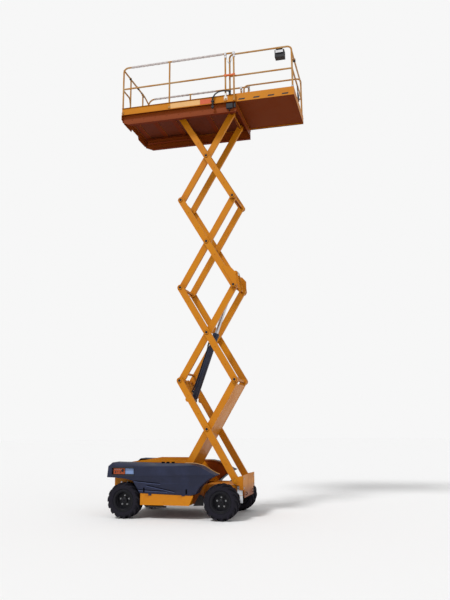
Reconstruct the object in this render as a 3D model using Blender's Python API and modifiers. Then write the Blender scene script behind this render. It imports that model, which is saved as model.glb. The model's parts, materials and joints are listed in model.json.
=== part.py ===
"""Compact rough-terrain scissor lift, fully raised, with its roll-out deck run out.

Everything is modelled in the machine's own axes: origin on the ground midway between the
axles, +X to the front (the roll-out end), +Y to the left side, +Z up.  All parts hang from one
empty that moves the middle of the outer box onto the world origin.
A pair of crossing arms is one stage.  The outer arms of a stage run from its lower front pin
to its upper rear pin, the inner arms from its lower rear pin to its upper front pin.
"""
from math import asin, atan2, cos, hypot, pi, radians, sin

import bmesh
import bpy
from mathutils import Matrix, Vector

# ---------------------------------------------------------------- driving dimensions (metres)
WHEELBASE = 1.86
OVERALL_WIDTH = 1.80
TYRE_RADIUS = 0.32
TYRE_WIDTH = 0.30
RIM_RADIUS = 0.195
RIM_WALL = 0.03
KINGPIN_Y = 0.56
STEER_ARM = 0.14
HUB_RADIUS = 0.09
AXLE_TUBE_RADIUS = 0.05

STAGES = 4
ARM_LENGTH = 2.15               # between end pins
RAISED_ANGLE = radians(59.3)    # of the arms from level, fully raised
STOWED_STEP = 0.14              # height of one stage, fully lowered
BASE_PIN = (1.12, 0.67)         # x and z of the pin that holds stage 1 on the chassis
ARM_DEPTH = 0.125
ARM_WIDTH = 0.06
ARM_WALL = 0.006
INNER_ARM_Y = 0.335             # inner face of the inner arms
ARM_GAP = 0.02                  # between inner and outer arms
SHAFT_RADIUS = 0.03
ROLLER_RADIUS = 0.05
ROLLER_WIDTH = 0.05

BELLY_Z = 0.25
SIDE_PLATE_Y = 0.56             # outer face of the chassis side plates
SIDE_PLATE = 0.010
WELL_REACH = 0.39               # front axle to the tub, clear of the steered tyres
NOSE_BOX_Y = 0.42               # half width of the chassis between the front wheels
CHASSIS_REAR = -1.24
CHASSIS_FRONT = 1.27
SHEET = 0.006

LADDER_DEPTH = 0.038
COVER_REAR = -1.27
COVER_WALL = 0.008
HINGE_Z = 0.425
HINGE_X = (-0.50, 0.14)         # rear end of each hinge of a cover
HINGE_LENGTH = 0.06             # of each half
HINGE_RADIUS = 0.006

CYLINDER_RADIUS = 0.062
ROD_RADIUS = 0.035
ROD_LENGTH = 1.42
BARREL_LENGTH = 1.40
LOWER_PIN = (-1.753, -0.063)    # in the outer arms of stage 1
UPPER_PIN = (-0.293, 0.126)     # in the outer arms of stage 3
PIN_RADIUS = 0.02
BRACKET_Y = 0.09                # inner face of the plates that hold the cylinder
BRACKET_PLATE = 0.02

DECK_REAR = -1.224
DECK_FRONT = 1.28
DECK_HALF_WIDTH = 0.77
DECK_ABOVE_PIN = 0.08           # deck frame top over the top pins
FLOOR_SHEET = 0.005
FLOOR_LAP = 0.003               # clear strip between floor sheet and roll-out deck
BEAM_Y = 0.70
BEAM_DEPTH = 0.215
TOE_BOARD_TOP = 0.15            # above the floor
RAIL_Y = 0.75
RAIL_RADIUS = 0.019
POST_RADIUS = 0.0185
TOP_RAIL = 1.10                 # above the floor
MID_RAIL = 0.60
REAR_POST_X = -1.20
MID_POST_X = -0.154
GATE_POST_Y = (-0.35, 0.38)
GATE_PIN_RADIUS = 0.007

EXTENSION_OUT = 1.20
EXTENSION_LENGTH = 1.38
EXTENSION_HALF_WIDTH = 0.715
EXTENSION_RAIL_Y = 0.69
EXTENSION_RISE = 0.015          # extension floor over the main floor
EXTENSION_TOE_TOP = 0.18

GAP = 0.0003                    # between touching pieces
PIN_CLEARANCE = 0.0005
FINE = 16                       # sides of a pin or bore
WHEEL_SIDES = 28

# ---------------------------------------------------------------- values worked out from them
AXLE_X = WHEELBASE / 2
WHEEL_Y = OVERALL_WIDTH / 2 - TYRE_WIDTH / 2
DISC_Y = WHEEL_Y + 0.02         # inner face of the rim's disc
BORE_RADIUS = (SHAFT_RADIUS + PIN_CLEARANCE) / cos(pi / FINE)
STAGE_RISE = ARM_LENGTH * sin(RAISED_ANGLE)
STAGE_RUN = ARM_LENGTH * cos(RAISED_ANGLE)
BASE_X, BASE_Z = BASE_PIN
REAR_PIN_X = BASE_X - STAGE_RUN
TOP_PIN_Z = BASE_Z + STAGES * STAGE_RISE
STOWED_ANGLE = asin(STOWED_STEP / ARM_LENGTH)
REAR_PIN_STOWED_X = BASE_X - ARM_LENGTH * cos(STOWED_ANGLE)

INNER_ARM_SPAN = (INNER_ARM_Y, INNER_ARM_Y + ARM_WIDTH)
OUTER_ARM_SPAN = (INNER_ARM_SPAN[1] + ARM_GAP, INNER_ARM_SPAN[1] + ARM_GAP + ARM_WIDTH)
PIN_END_Y = OUTER_ARM_SPAN[1] + 0.008
ROLLER_SPAN = (OUTER_ARM_SPAN[1] + 0.015, OUTER_ARM_SPAN[1] + 0.015 + ROLLER_WIDTH)
EAR_SPAN = (OUTER_ARM_SPAN[1] + 0.010, OUTER_ARM_SPAN[1] + 0.035)
TRACK_SPAN = (OUTER_ARM_SPAN[1] + 0.0175, SIDE_PLATE_Y - SIDE_PLATE / 2)
TRACK_X = (REAR_PIN_STOWED_X - 0.075, REAR_PIN_X + 0.078)
CHASSIS_TOP = BASE_Z - ARM_DEPTH / 2 - 0.0175

COVER_OUTER_Y = OVERALL_WIDTH / 2 - 0.028
SKIRT_Y = COVER_OUTER_Y - COVER_WALL - 0.004
HINGE_Y = SKIRT_Y + HINGE_RADIUS + GAP
COVER_INNER_Y = SIDE_PLATE_Y + 0.005

FRAME_TOP = TOP_PIN_Z + DECK_ABOVE_PIN - GAP
FLOOR_Z = TOP_PIN_Z + DECK_ABOVE_PIN + FLOOR_SHEET
BEAM_Z = FRAME_TOP - BEAM_DEPTH
LOW_POST_X = (DECK_FRONT - 0.21, DECK_FRONT - 0.03)
GATE_PIN_BORE = (GATE_PIN_RADIUS + PIN_CLEARANCE) / cos(pi / FINE)
CROSS_BAR_Z = TOP_PIN_Z + ARM_DEPTH / 2 + 0.006
FLOOR_REAR = REAR_POST_X + RAIL_RADIUS + 0.003
FLOOR_HALF = RAIL_Y - RAIL_RADIUS - 0.002
EXTENSION_FRONT = DECK_FRONT + EXTENSION_OUT
EXTENSION_REAR = EXTENSION_FRONT - EXTENSION_LENGTH
EXTENSION_FLOOR_Z = FLOOR_Z + EXTENSION_RISE + FLOOR_SHEET

REAR_END = min(COVER_REAR, CHASSIS_REAR - GAP - LADDER_DEPTH)
SHIFT_X = -(REAR_END + EXTENSION_FRONT) / 2

for item in list(bpy.data.objects):
    bpy.data.objects.remove(item, do_unlink=True)

lift_parts = bpy.data.collections.new("scissor_lift")
cutters = bpy.data.collections.new("cutters")
bpy.context.scene.collection.children.link(lift_parts)
bpy.context.scene.collection.children.link(cutters)

root = bpy.data.objects.new("lift_root", None)
root.location = (SHIFT_X, 0, 0)
lift_parts.objects.link(root)


# ---------------------------------------------------------------- materials
def paint(name, colour, roughness, metallic):
    """A Principled material."""
    material = bpy.data.materials.new(name)
    material.use_nodes = True
    material.diffuse_color = (*colour, 1)
    shader = material.node_tree.nodes["Principled BSDF"]
    shader.inputs["Base Color"].default_value = (*colour, 1)
    shader.inputs["Roughness"].default_value = roughness
    shader.inputs["Metallic"].default_value = metallic
    return material


ORANGE = paint("orange_paint", (0.68, 0.22, 0.01), 0.45, 0.0)
SLATE = paint("slate_cover", (0.045, 0.055, 0.095), 0.5, 0.0)
CREAM = paint("cream_rail", (0.62, 0.42, 0.16), 0.45, 0.0)
RUBBER = paint("tyre_rubber", (0.018, 0.018, 0.022), 0.9, 0.0)
BLACK = paint("black_paint", (0.015, 0.015, 0.02), 0.5, 0.0)
STEEL = paint("bare_steel", (0.32, 0.32, 0.34), 0.35, 1.0)
CHROME = paint("chrome_rod", (0.6, 0.6, 0.62), 0.15, 1.0)
FLOOR_GREY = paint("floor_sheet", (0.30, 0.16, 0.05), 0.6, 0.2)
WHITE = paint("white_plate", (0.75, 0.75, 0.75), 0.5, 0.0)


# ---------------------------------------------------------------- shapes
def shape(name, data, group=cutters):
    """An object for a mesh or curve."""
    item = bpy.data.objects.new(name, data)
    group.objects.link(item)
    return item


def mesh_shape(name, build):
    """A mesh object whose faces build(bm) makes."""
    bm = bmesh.new()
    build(bm)
    mesh = bpy.data.meshes.new(name)
    bm.to_mesh(mesh)
    bm.free()
    return shape(name, mesh)


def box(x, y, z):
    """A box between the two values given along each axis."""
    centre = [(span[0] + span[1]) / 2 for span in (x, y, z)]
    size = [abs(span[1] - span[0]) for span in (x, y, z)]
    placed = Matrix.Translation(centre) @ Matrix.Diagonal((*size, 1))
    return mesh_shape("box", lambda bm: bmesh.ops.create_cube(bm, size=1, matrix=placed))


def rod(start, end, radius, sides=FINE, end_radius=None):
    """A cylinder or cone from one point to another."""
    start, end = Vector(start), Vector(end)
    along = end - start
    turn = along.to_track_quat("Z", "Y").to_matrix().to_4x4()
    placed = Matrix.Translation((start + end) / 2) @ turn
    tip = radius if end_radius is None else end_radius
    return mesh_shape("rod", lambda bm: bmesh.ops.create_cone(
        bm, cap_ends=True, segments=sides, radius1=radius, radius2=tip,
        depth=along.length, matrix=placed))


def cross_rod(x, z, y, radius, sides=FINE):
    """A cylinder along Y."""
    return rod((x, y[0], z), (x, y[1], z), radius, sides)


def baked(item, turn_out=False):
    """The object with its modifiers, or its curve, turned into a plain mesh."""
    depsgraph = bpy.context.evaluated_depsgraph_get()
    mesh = bpy.data.meshes.new_from_object(item.evaluated_get(depsgraph))
    bm = bmesh.new()
    bm.from_mesh(mesh)
    bmesh.ops.remove_doubles(bm, verts=bm.verts, dist=0.00001)
    if turn_out:
        bmesh.ops.recalc_face_normals(bm, faces=bm.faces)
    bm.to_mesh(mesh)
    bm.free()
    result = shape(item.name, mesh)
    result.matrix_world = item.matrix_world.copy()
    bpy.data.objects.remove(item, do_unlink=True)
    return result


def tube(points, radius):
    """A round tube along a path."""
    curve = bpy.data.curves.new("tube", "CURVE")
    curve.dimensions = "3D"
    curve.bevel_depth = radius
    curve.bevel_resolution = 2
    curve.use_fill_caps = True
    spline = curve.splines.new("POLY")
    spline.points.add(len(points) - 1)
    for vertex, point in zip(spline.points, points):
        vertex.co = (*point, 1)
    return baked(shape("tube", curve), turn_out=True)


PLANES = {
    "XZ": Matrix(((1, 0, 0, 0), (0, 0, -1, 0), (0, 1, 0, 0), (0, 0, 0, 1))),
    "XY": Matrix.Identity(4),
    "YZ": Matrix(((0, 0, 1, 0), (1, 0, 0, 0), (0, 1, 0, 0), (0, 0, 0, 1))),
}
NORMALS = {"XZ": Vector((0, 1, 0)), "XY": Vector((0, 0, 1)), "YZ": Vector((1, 0, 0))}


def plate(outline, span, plane="XZ"):
    """A flat outline, thickened between two values along the axis it faces."""
    curve = bpy.data.curves.new("plate", "CURVE")
    curve.dimensions = "2D"
    curve.fill_mode = "BOTH"
    curve.extrude = abs(span[1] - span[0]) / 2
    spline = curve.splines.new("POLY")
    spline.points.add(len(outline) - 1)
    spline.use_cyclic_u = True
    for vertex, point in zip(spline.points, outline):
        vertex.co = (*point, 0, 1)
    item = baked(shape("plate", curve), turn_out=True)
    middle = NORMALS[plane] * (span[0] + span[1]) / 2
    item.data.transform(Matrix.Translation(middle) @ PLANES[plane])
    return item


def arc(centre, radius, start, end, steps):
    """Points on a circle, angles in degrees."""
    angles = [radians(start + (end - start) * i / steps) for i in range(steps + 1)]
    return [(centre[0] + radius * cos(a), centre[1] + radius * sin(a)) for a in angles]


def rounded(points, radius, steps=4):
    """A path with each inner corner replaced by an arc."""
    points = [Vector(p) for p in points]
    path = [points[0]]
    for before, corner, after in zip(points, points[1:], points[2:]):
        one, two = (before - corner).normalized(), (after - corner).normalized()
        half = one.angle(two) / 2
        middle = corner + (one + two).normalized() * radius / sin(half)
        reach = radius / sin(half) * cos(half)
        first, last = corner + one * reach - middle, corner + two * reach - middle
        sweep = first.angle(last)
        for i in range(steps + 1):
            t = i / steps
            mix = first * sin((1 - t) * sweep) + last * sin(t * sweep)
            path.append(middle + mix / sin(sweep))
    path.append(points[-1])
    return path


def inset(outline, distances):
    """The outline with each edge moved inward by its own distance."""
    count = len(outline)
    area = sum(outline[i][0] * outline[(i + 1) % count][1]
               - outline[(i + 1) % count][0] * outline[i][1] for i in range(count))
    turn = 1 if area > 0 else -1
    lines = []
    for i in range(count):
        (x0, z0), (x1, z1) = outline[i], outline[(i + 1) % count]
        length = hypot(x1 - x0, z1 - z0)
        nx, nz = -(z1 - z0) / length * turn, (x1 - x0) / length * turn
        lines.append((nx, nz, nx * x0 + nz * z0 + distances[i]))
    corners = []
    for i in range(count):
        a, b = lines[i - 1], lines[i]
        det = a[0] * b[1] - b[0] * a[1]
        corners.append(((a[2] * b[1] - b[2] * a[1]) / det, (a[0] * b[2] - b[0] * a[2]) / det))
    return corners


def mirrored(span, side):
    """A span on |y| as real y values on one side."""
    return (min(side * span[0], side * span[1]), max(side * span[0], side * span[1]))


def both(make):
    """The piece that make(side) returns, on the right and on the left."""
    return [make(-1), make(1)]


def fuse(pieces, cuts=()):
    """One closed body: the union of the pieces, less the cuts."""
    body = pieces[0]
    for operation, others in (("UNION", pieces[1:]), ("DIFFERENCE", cuts)):
        for other in others:
            step = body.modifiers.new(operation, "BOOLEAN")
            step.operation = operation
            step.solver = "EXACT"
            step.object = other
    body = baked(body)
    for other in [*pieces[1:], *cuts]:
        bpy.data.objects.remove(other, do_unlink=True)
    return body


def part(name, body, material, pivot=None, place=None, tilt=0.0, smooth=35):
    """Name a finished body and hang it from the root.

    pivot: the point of the machine that becomes the part's origin (its joint).
    place: where the origin goes, for a body that was modelled round its own joint.
    """
    if pivot:
        body.data.transform(Matrix.Translation(-Vector(pivot)))
    body.location = pivot or place or (0, 0, 0)
    body.rotation_euler = (0, tilt, 0)
    body.name = name
    body.data.name = name
    body.data.materials.clear()
    body.data.materials.append(material)
    body.data.shade_smooth()
    body.data.set_sharp_from_angle(angle=radians(smooth))
    body.parent = root
    cutters.objects.unlink(body)
    lift_parts.objects.link(body)
    return body


# ---------------------------------------------------------------- chassis
def chassis_frame():
    """Tub, nose box, side plates, roller tracks and the ears of the lowest pin."""
    rise_rear, rise_front = BELLY_Z + 0.17, BELLY_Z + 0.15
    tub_end = AXLE_X - WELL_REACH
    floor_line = [(CHASSIS_REAR, rise_rear), (-AXLE_X + 0.27, rise_rear), (-AXLE_X + 0.33, BELLY_Z),
                  (tub_end - 0.15, BELLY_Z), (tub_end, rise_front)]
    wall_top = [(tub_end, CHASSIS_TOP), (tub_end - 0.37, 1.03), (-0.68, 1.03), (-0.88, 1.00),
                (-1.14, 0.95), (CHASSIS_REAR, 0.69)]
    pan = floor_line + [(x, z + SHEET) for x, z in reversed(floor_line)]
    inside = SIDE_PLATE_Y - SIDE_PLATE / 2
    pieces = [plate(pan, (-inside, inside))]
    pieces += both(lambda s: plate(floor_line + wall_top,
                                   mirrored((SIDE_PLATE_Y - SIDE_PLATE, SIDE_PLATE_Y), s)))
    deck = (CHASSIS_TOP - SHEET, CHASSIS_TOP)
    pieces += both(lambda s: box((CHASSIS_REAR + 0.001, tub_end - 0.001),
                                 mirrored((0.30, inside - 0.001), s), deck))
    pieces.append(box((CHASSIS_REAR + 0.0005, CHASSIS_REAR + SIDE_PLATE), (-inside, inside),
                      (rise_rear + 0.001, 0.688)))
    bulkhead = (tub_end - 0.012, tub_end - 0.002)
    pieces += both(lambda s: box(bulkhead, mirrored((0.28, inside - 0.002), s),
                                 (rise_front + 0.001, CHASSIS_TOP - 0.001)))
    nose_x, inset_y = (tub_end - 0.006, CHASSIS_FRONT - 0.005), NOSE_BOX_Y - 0.001
    pieces.append(box(nose_x, (-inset_y, inset_y), (deck[0] - 0.0005, deck[1] - 0.0005)))
    pieces.append(box(nose_x, (-inset_y, inset_y), (rise_front + 0.0005, rise_front + SHEET)))
    pieces += both(lambda s: box((nose_x[0] - 0.002, nose_x[1]),
                                 mirrored((NOSE_BOX_Y - SIDE_PLATE, NOSE_BOX_Y), s),
                                 (rise_front - 0.0005, CHASSIS_TOP - 0.002)))
    low, step, high, half = 0.36, 0.50, BASE_Z + 0.09, EAR_SPAN[1]
    pieces.append(box((CHASSIS_FRONT - SIDE_PLATE, CHASSIS_FRONT), (-half, half), (step, high)))
    pieces.append(box((CHASSIS_FRONT - SIDE_PLATE + 0.001, CHASSIS_FRONT - 0.001), (-0.40, 0.40),
                      (low, step + 0.02)))
    web_x = (BASE_X + 0.085, CHASSIS_FRONT - 0.004)
    pieces.append(box(web_x, (-half + 0.001, half - 0.001),
                      (CHASSIS_TOP - 0.012, CHASSIS_TOP - 0.001)))
    ear = [(CHASSIS_FRONT - 0.005, step + 0.001), (CHASSIS_FRONT - 0.005, high - 0.001)]
    ear += arc(BASE_PIN, 0.062, 78, 262, 8) + [(BASE_X + 0.08, 0.58), (BASE_X + 0.08, step + 0.001)]
    pieces += both(lambda s: plate(ear, mirrored(EAR_SPAN, s)))
    for z in (BASE_Z - ROLLER_RADIUS - 0.0005 - SHEET, BASE_Z + ROLLER_RADIUS + 0.0005):
        pieces += both(lambda s: box(TRACK_X, mirrored(TRACK_SPAN, s), (z, z + SHEET)))
    bore = cross_rod(BASE_X, BASE_Z, (-half - 0.1, half + 0.1), BORE_RADIUS)
    part("chassis_frame", fuse(pieces, [bore]), ORANGE)


def side_tray(side, name):
    """Shelf outside the chassis that carries the power pack, with its skirt."""
    rear, front = -AXLE_X + 0.33, AXLE_X - 0.51
    inner = SIDE_PLATE_Y + GAP
    skirt = [(rear, BELLY_Z), (front - 0.08, BELLY_Z), (front, 0.425), (rear, 0.455)]
    pieces = [box((rear, front - 0.09), mirrored((inner, SKIRT_Y - 0.001), side),
                  (BELLY_Z + 0.001, BELLY_Z + SHEET)),
              plate(skirt, mirrored((SKIRT_Y - SHEET, SKIRT_Y), side))]
    for x in (rear + 0.001, front - 0.1):
        pieces.append(box((x, x + SHEET), mirrored((inner, SKIRT_Y - 0.002), side),
                          (BELLY_Z + 0.002, 0.42)))
    for x in HINGE_X:
        pieces.append(rod((x, side * HINGE_Y, HINGE_Z), (x + HINGE_LENGTH, side * HINGE_Y, HINGE_Z),
                          HINGE_RADIUS, 12))
        pieces.append(box((x + 0.001, x + HINGE_LENGTH - 0.001),
                          mirrored((SKIRT_Y - 0.003, HINGE_Y), side), (HINGE_Z - 0.03, HINGE_Z)))
    part("side_tray_" + name, fuse(pieces), ORANGE)


COVER_OUTLINE = [(-1.16, 1.00), (-1.25, 0.93), (COVER_REAR, 0.73), (-1.10, 0.725), (-0.90, 0.71),
                 (-0.754, 0.674), (-0.63, 0.487), (-0.618, 0.46), (0.361, 0.43), (0.463, 0.455),
                 (0.535, 0.577), (0.618, 0.644), (0.719, 0.722), (0.851, 0.784), (0.77, 0.816),
                 (0.546, 0.936), (0.359, 0.975)]
COVER_OPEN_EDGE = 7             # the edge over the tray, between outline points 7 and 8


def engine_cover(side, name):
    """Moulded shell over a side tray, open below and towards the chassis."""
    outer = plate(COVER_OUTLINE, mirrored((COVER_INNER_Y, COVER_OUTER_Y), side))
    bevel = outer.modifiers.new("rounding", "BEVEL")
    bevel.width = COVER_WALL * 0.8
    bevel.segments = 1
    bevel.limit_method = "ANGLE"
    bevel.angle_limit = radians(60)
    walls = [COVER_WALL] * len(COVER_OUTLINE)
    walls[COVER_OPEN_EDGE] = -0.05
    hollow = plate(inset(COVER_OUTLINE, walls),
                   mirrored((COVER_INNER_Y - 0.05, COVER_OUTER_Y - COVER_WALL), side))
    shell = fuse([baked(outer)], [hollow])
    leaves = []
    for x in HINGE_X:
        start, end = x + HINGE_LENGTH + GAP, x + 2 * HINGE_LENGTH
        leaves.append(rod((start, side * HINGE_Y, HINGE_Z), (end, side * HINGE_Y, HINGE_Z),
                          HINGE_RADIUS, 12))
        leaves.append(box((start + 0.001, end - 0.001),
                          mirrored((HINGE_Y - 0.001, COVER_OUTER_Y - 0.003), side),
                          (HINGE_Z, 0.49)))
    part("engine_cover_" + name, fuse([shell, *leaves]), SLATE,
         pivot=(0, side * HINGE_Y, HINGE_Z))


def power_pack():
    """Engine on the right tray, hydraulic and fuel tank on the left one."""
    inner, outer = SIDE_PLATE_Y + 0.03, SKIRT_Y - 0.03
    floor = BELLY_Z + SHEET + GAP
    engine = box((-0.50, 0.12), (-outer, -inner), (floor, 0.84))
    part("engine_block", engine, BLACK)
    tank = box((-0.52, 0.25), (inner, outer), (floor, 0.70))
    part("hydraulic_tank", tank, STEEL)


def access_ladder():
    """Steps on the rear plate."""
    face = CHASSIS_REAR - GAP
    foot, top, half = 0.30, 0.66, 0.19
    back = face - LADDER_DEPTH
    pieces = both(lambda s: box((back + 0.003, back + 0.015), mirrored((half - 0.02, half), s),
                                (foot, top)))
    for z in (foot + 0.04, top - 0.06):
        pieces.append(box((back, back + 0.018), (-half + 0.01, half - 0.01), (z, z + 0.02)))
    for z in (0.46, 0.60):
        pieces += both(lambda s: box((face - 0.03, face), mirrored((half - 0.017, half - 0.003), s),
                                     (z, z + 0.03)))
    part("access_ladder", fuse(pieces), BLACK)


def label_bracket():
    """Blank white plate hanging on the right side of the nose."""
    outer = NOSE_BOX_Y + GAP
    plate_body = box((CHASSIS_FRONT - 0.13, CHASSIS_FRONT - 0.03), (-outer - 0.004, -outer),
                     (0.27, 0.57))
    part("label_bracket", plate_body, WHITE)


# ---------------------------------------------------------------- running gear
def front_axle():
    """Beam with a fork for each kingpin and a pivot block under the nose."""
    z, fork = TYRE_RADIUS, 0.035
    pieces = [box((AXLE_X - 0.04, AXLE_X + 0.04), (-KINGPIN_Y + 0.06, KINGPIN_Y - 0.06),
                  (z - 0.08, z + 0.05)),
              box((AXLE_X - 0.07, AXLE_X + 0.07), (-0.08, 0.08),
                  (z, BELLY_Z + 0.15 - GAP))]
    for height in ((z - 0.08, z - 0.05), (z + 0.02, z + 0.05)):
        for side in (-1, 1):
            pieces.append(box((AXLE_X - fork, AXLE_X + fork),
                              mirrored((KINGPIN_Y - 0.07, KINGPIN_Y), side), height))
            pieces.append(rod((AXLE_X, side * KINGPIN_Y, height[0]),
                              (AXLE_X, side * KINGPIN_Y, height[1]), fork))
    for side in (-1, 1):
        pieces.append(rod((AXLE_X, side * KINGPIN_Y, z - 0.079),
                          (AXLE_X, side * KINGPIN_Y, z + 0.049), 0.012))
    part("front_axle", fuse(pieces), BLACK)


def rear_axle():
    """Fixed tube with its hub motors and two brackets to the chassis."""
    z, roof = TYRE_RADIUS, BELLY_Z + 0.17 - GAP
    hub_end = DISC_Y - GAP
    pieces = [cross_rod(-AXLE_X, z, (-WHEEL_Y, WHEEL_Y), AXLE_TUBE_RADIUS)]
    for side in (-1, 1):
        pieces.append(cross_rod(-AXLE_X, z, mirrored((WHEEL_Y - 0.12, hub_end), side), HUB_RADIUS))
        pieces.append(box((-AXLE_X - 0.05, -AXLE_X + 0.05), mirrored((0.44, 0.47), side), (z, roof)))
    part("rear_axle", fuse(pieces), BLACK)


def knuckle(side, name):
    """Kingpin barrel, steering arm and hub motor of one front wheel."""
    z, sleeve = TYRE_RADIUS, 0.028
    arm_x = AXLE_X - STEER_ARM
    y = side * KINGPIN_Y
    bore = (0.012 + PIN_CLEARANCE) / cos(pi / FINE)
    low, high = z - 0.05 + 0.001, z + 0.02 - 0.001
    pieces = [rod((AXLE_X, y, low), (AXLE_X, y, high), sleeve),
              cross_rod(AXLE_X, z - 0.015, mirrored((KINGPIN_Y + 0.02, WHEEL_Y - 0.02), side), 0.025),
              cross_rod(AXLE_X, z, mirrored((KINGPIN_Y + 0.065, DISC_Y - GAP), side), HUB_RADIUS),
              box((arm_x, AXLE_X - 0.02), (y - 0.014, y + 0.014), (low + 0.001, low + 0.016)),
              rod((arm_x, y, low + 0.001), (arm_x, y, low + 0.016), 0.02),
              rod((arm_x, y, low + 0.01), (arm_x, y, low + 0.042), 0.008)]
    hole = rod((AXLE_X, y, z - 0.2), (AXLE_X, y, z + 0.2), bore)
    part("steering_knuckle_" + name, fuse(pieces, [hole]), BLACK, pivot=(AXLE_X, y, z))


def steering_rod():
    """Bar that joins the steering arms; its slotted ends take the arc of their pins."""
    arm_x, z = AXLE_X - STEER_ARM, TYRE_RADIUS - 0.05 + 0.001 + 0.016 + GAP
    lift = (z, z + 0.016)
    pieces = [box((arm_x - 0.012, arm_x + 0.012), (-KINGPIN_Y + 0.01, KINGPIN_Y - 0.01),
                  (z + 0.001, z + 0.015))]
    cuts = []
    slack = STEER_ARM * (1 - cos(radians(28)))
    for side in (-1, 1):
        y = side * KINGPIN_Y
        pieces.append(box((arm_x - 0.022, arm_x + slack + 0.022), (y - 0.024, y + 0.024), lift))
        cuts.append(box((arm_x - 0.0085, arm_x + slack + 0.0105), (y - 0.0125, y + 0.0125),
                        (z - 0.1, z + 0.1)))
    part("steering_rod", fuse(pieces, cuts), STEEL, pivot=(arm_x, 0, z))


def turned(profile, sides):
    """A ring round the Y axis from (radius, y) points, closed."""
    mesh = bpy.data.meshes.new("profile")
    count = len(profile)
    mesh.from_pydata([(r, y, 0) for r, y in profile], [(i, (i + 1) % count) for i in range(count)], [])
    item = shape("turned", mesh)
    screw = item.modifiers.new("turn", "SCREW")
    screw.axis = "Y"
    screw.steps = sides
    screw.render_steps = sides
    screw.use_merge_vertices = True
    screw.merge_threshold = 0.0001
    return baked(item, turn_out=True)


def wheel(x, side, name):
    """Tyre and dished rim, modelled round the axle's end."""
    half, crown = TYRE_WIDTH / 2, TYRE_RADIUS
    centre = (x, side * WHEEL_Y, TYRE_RADIUS)
    tyre = turned([(RIM_RADIUS, half - 0.02), (crown - 0.06, half), (crown - 0.02, half - 0.012),
                   (crown, half - 0.05), (crown, 0.05 - half), (crown - 0.02, 0.012 - half),
                   (crown - 0.06, -half), (RIM_RADIUS, 0.02 - half)], WHEEL_SIDES)
    part("tyre_" + name, tyre, RUBBER, place=centre)
    edge, lip = RIM_RADIUS - GAP, half - 0.022
    inner = edge - RIM_WALL
    barrel = turned([(inner, lip), (edge, lip), (edge, -lip), (inner, -lip)], WHEEL_SIDES)
    offset = (DISC_Y - WHEEL_Y) * side
    disc = cross_rod(0, 0, (offset, offset + 0.015 * side), inner + 0.01, WHEEL_SIDES)
    cap = cross_rod(0, 0, (offset, offset + 0.045 * side), 0.05)
    part("rim_" + name, fuse([barrel, disc, cap]), BLACK, place=centre)


# ---------------------------------------------------------------- scissor stages
def arm(pins, span):
    """One box-section arm through its pins, with two hollows that drain below."""
    half = ARM_DEPTH / 2
    outline = arc((pins[0], 0), half, 90, 270, 6) + arc((pins[2], 0), half, -90, 90, 6)
    solid = plate(outline, span)
    hollow_y = (span[0] + ARM_WALL, span[1] - ARM_WALL)
    middle_y = (span[0] + span[1]) / 2
    cuts = []
    for left, right in ((pins[0], pins[1]), (pins[1], pins[2])):
        reach = half - ARM_WALL
        cuts.append(box((left + 0.075, right - 0.075), hollow_y, (-reach, reach)))
        x = (left + right) / 2
        cuts.append(rod((x, middle_y, -half - 0.01), (x, middle_y, -reach + 0.002), 0.006, 6))
    return fuse([solid], cuts)


def full_bar(x, reach, radius=SHAFT_RADIUS, z=0.0):
    """A shaft across the machine."""
    return cross_rod(x, z, (-reach, reach), radius)


def bores(xs, reach=1.0):
    """Cutters for pins that another part holds."""
    return [cross_rod(x, 0, (-reach, reach), BORE_RADIUS) for x in xs]


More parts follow.
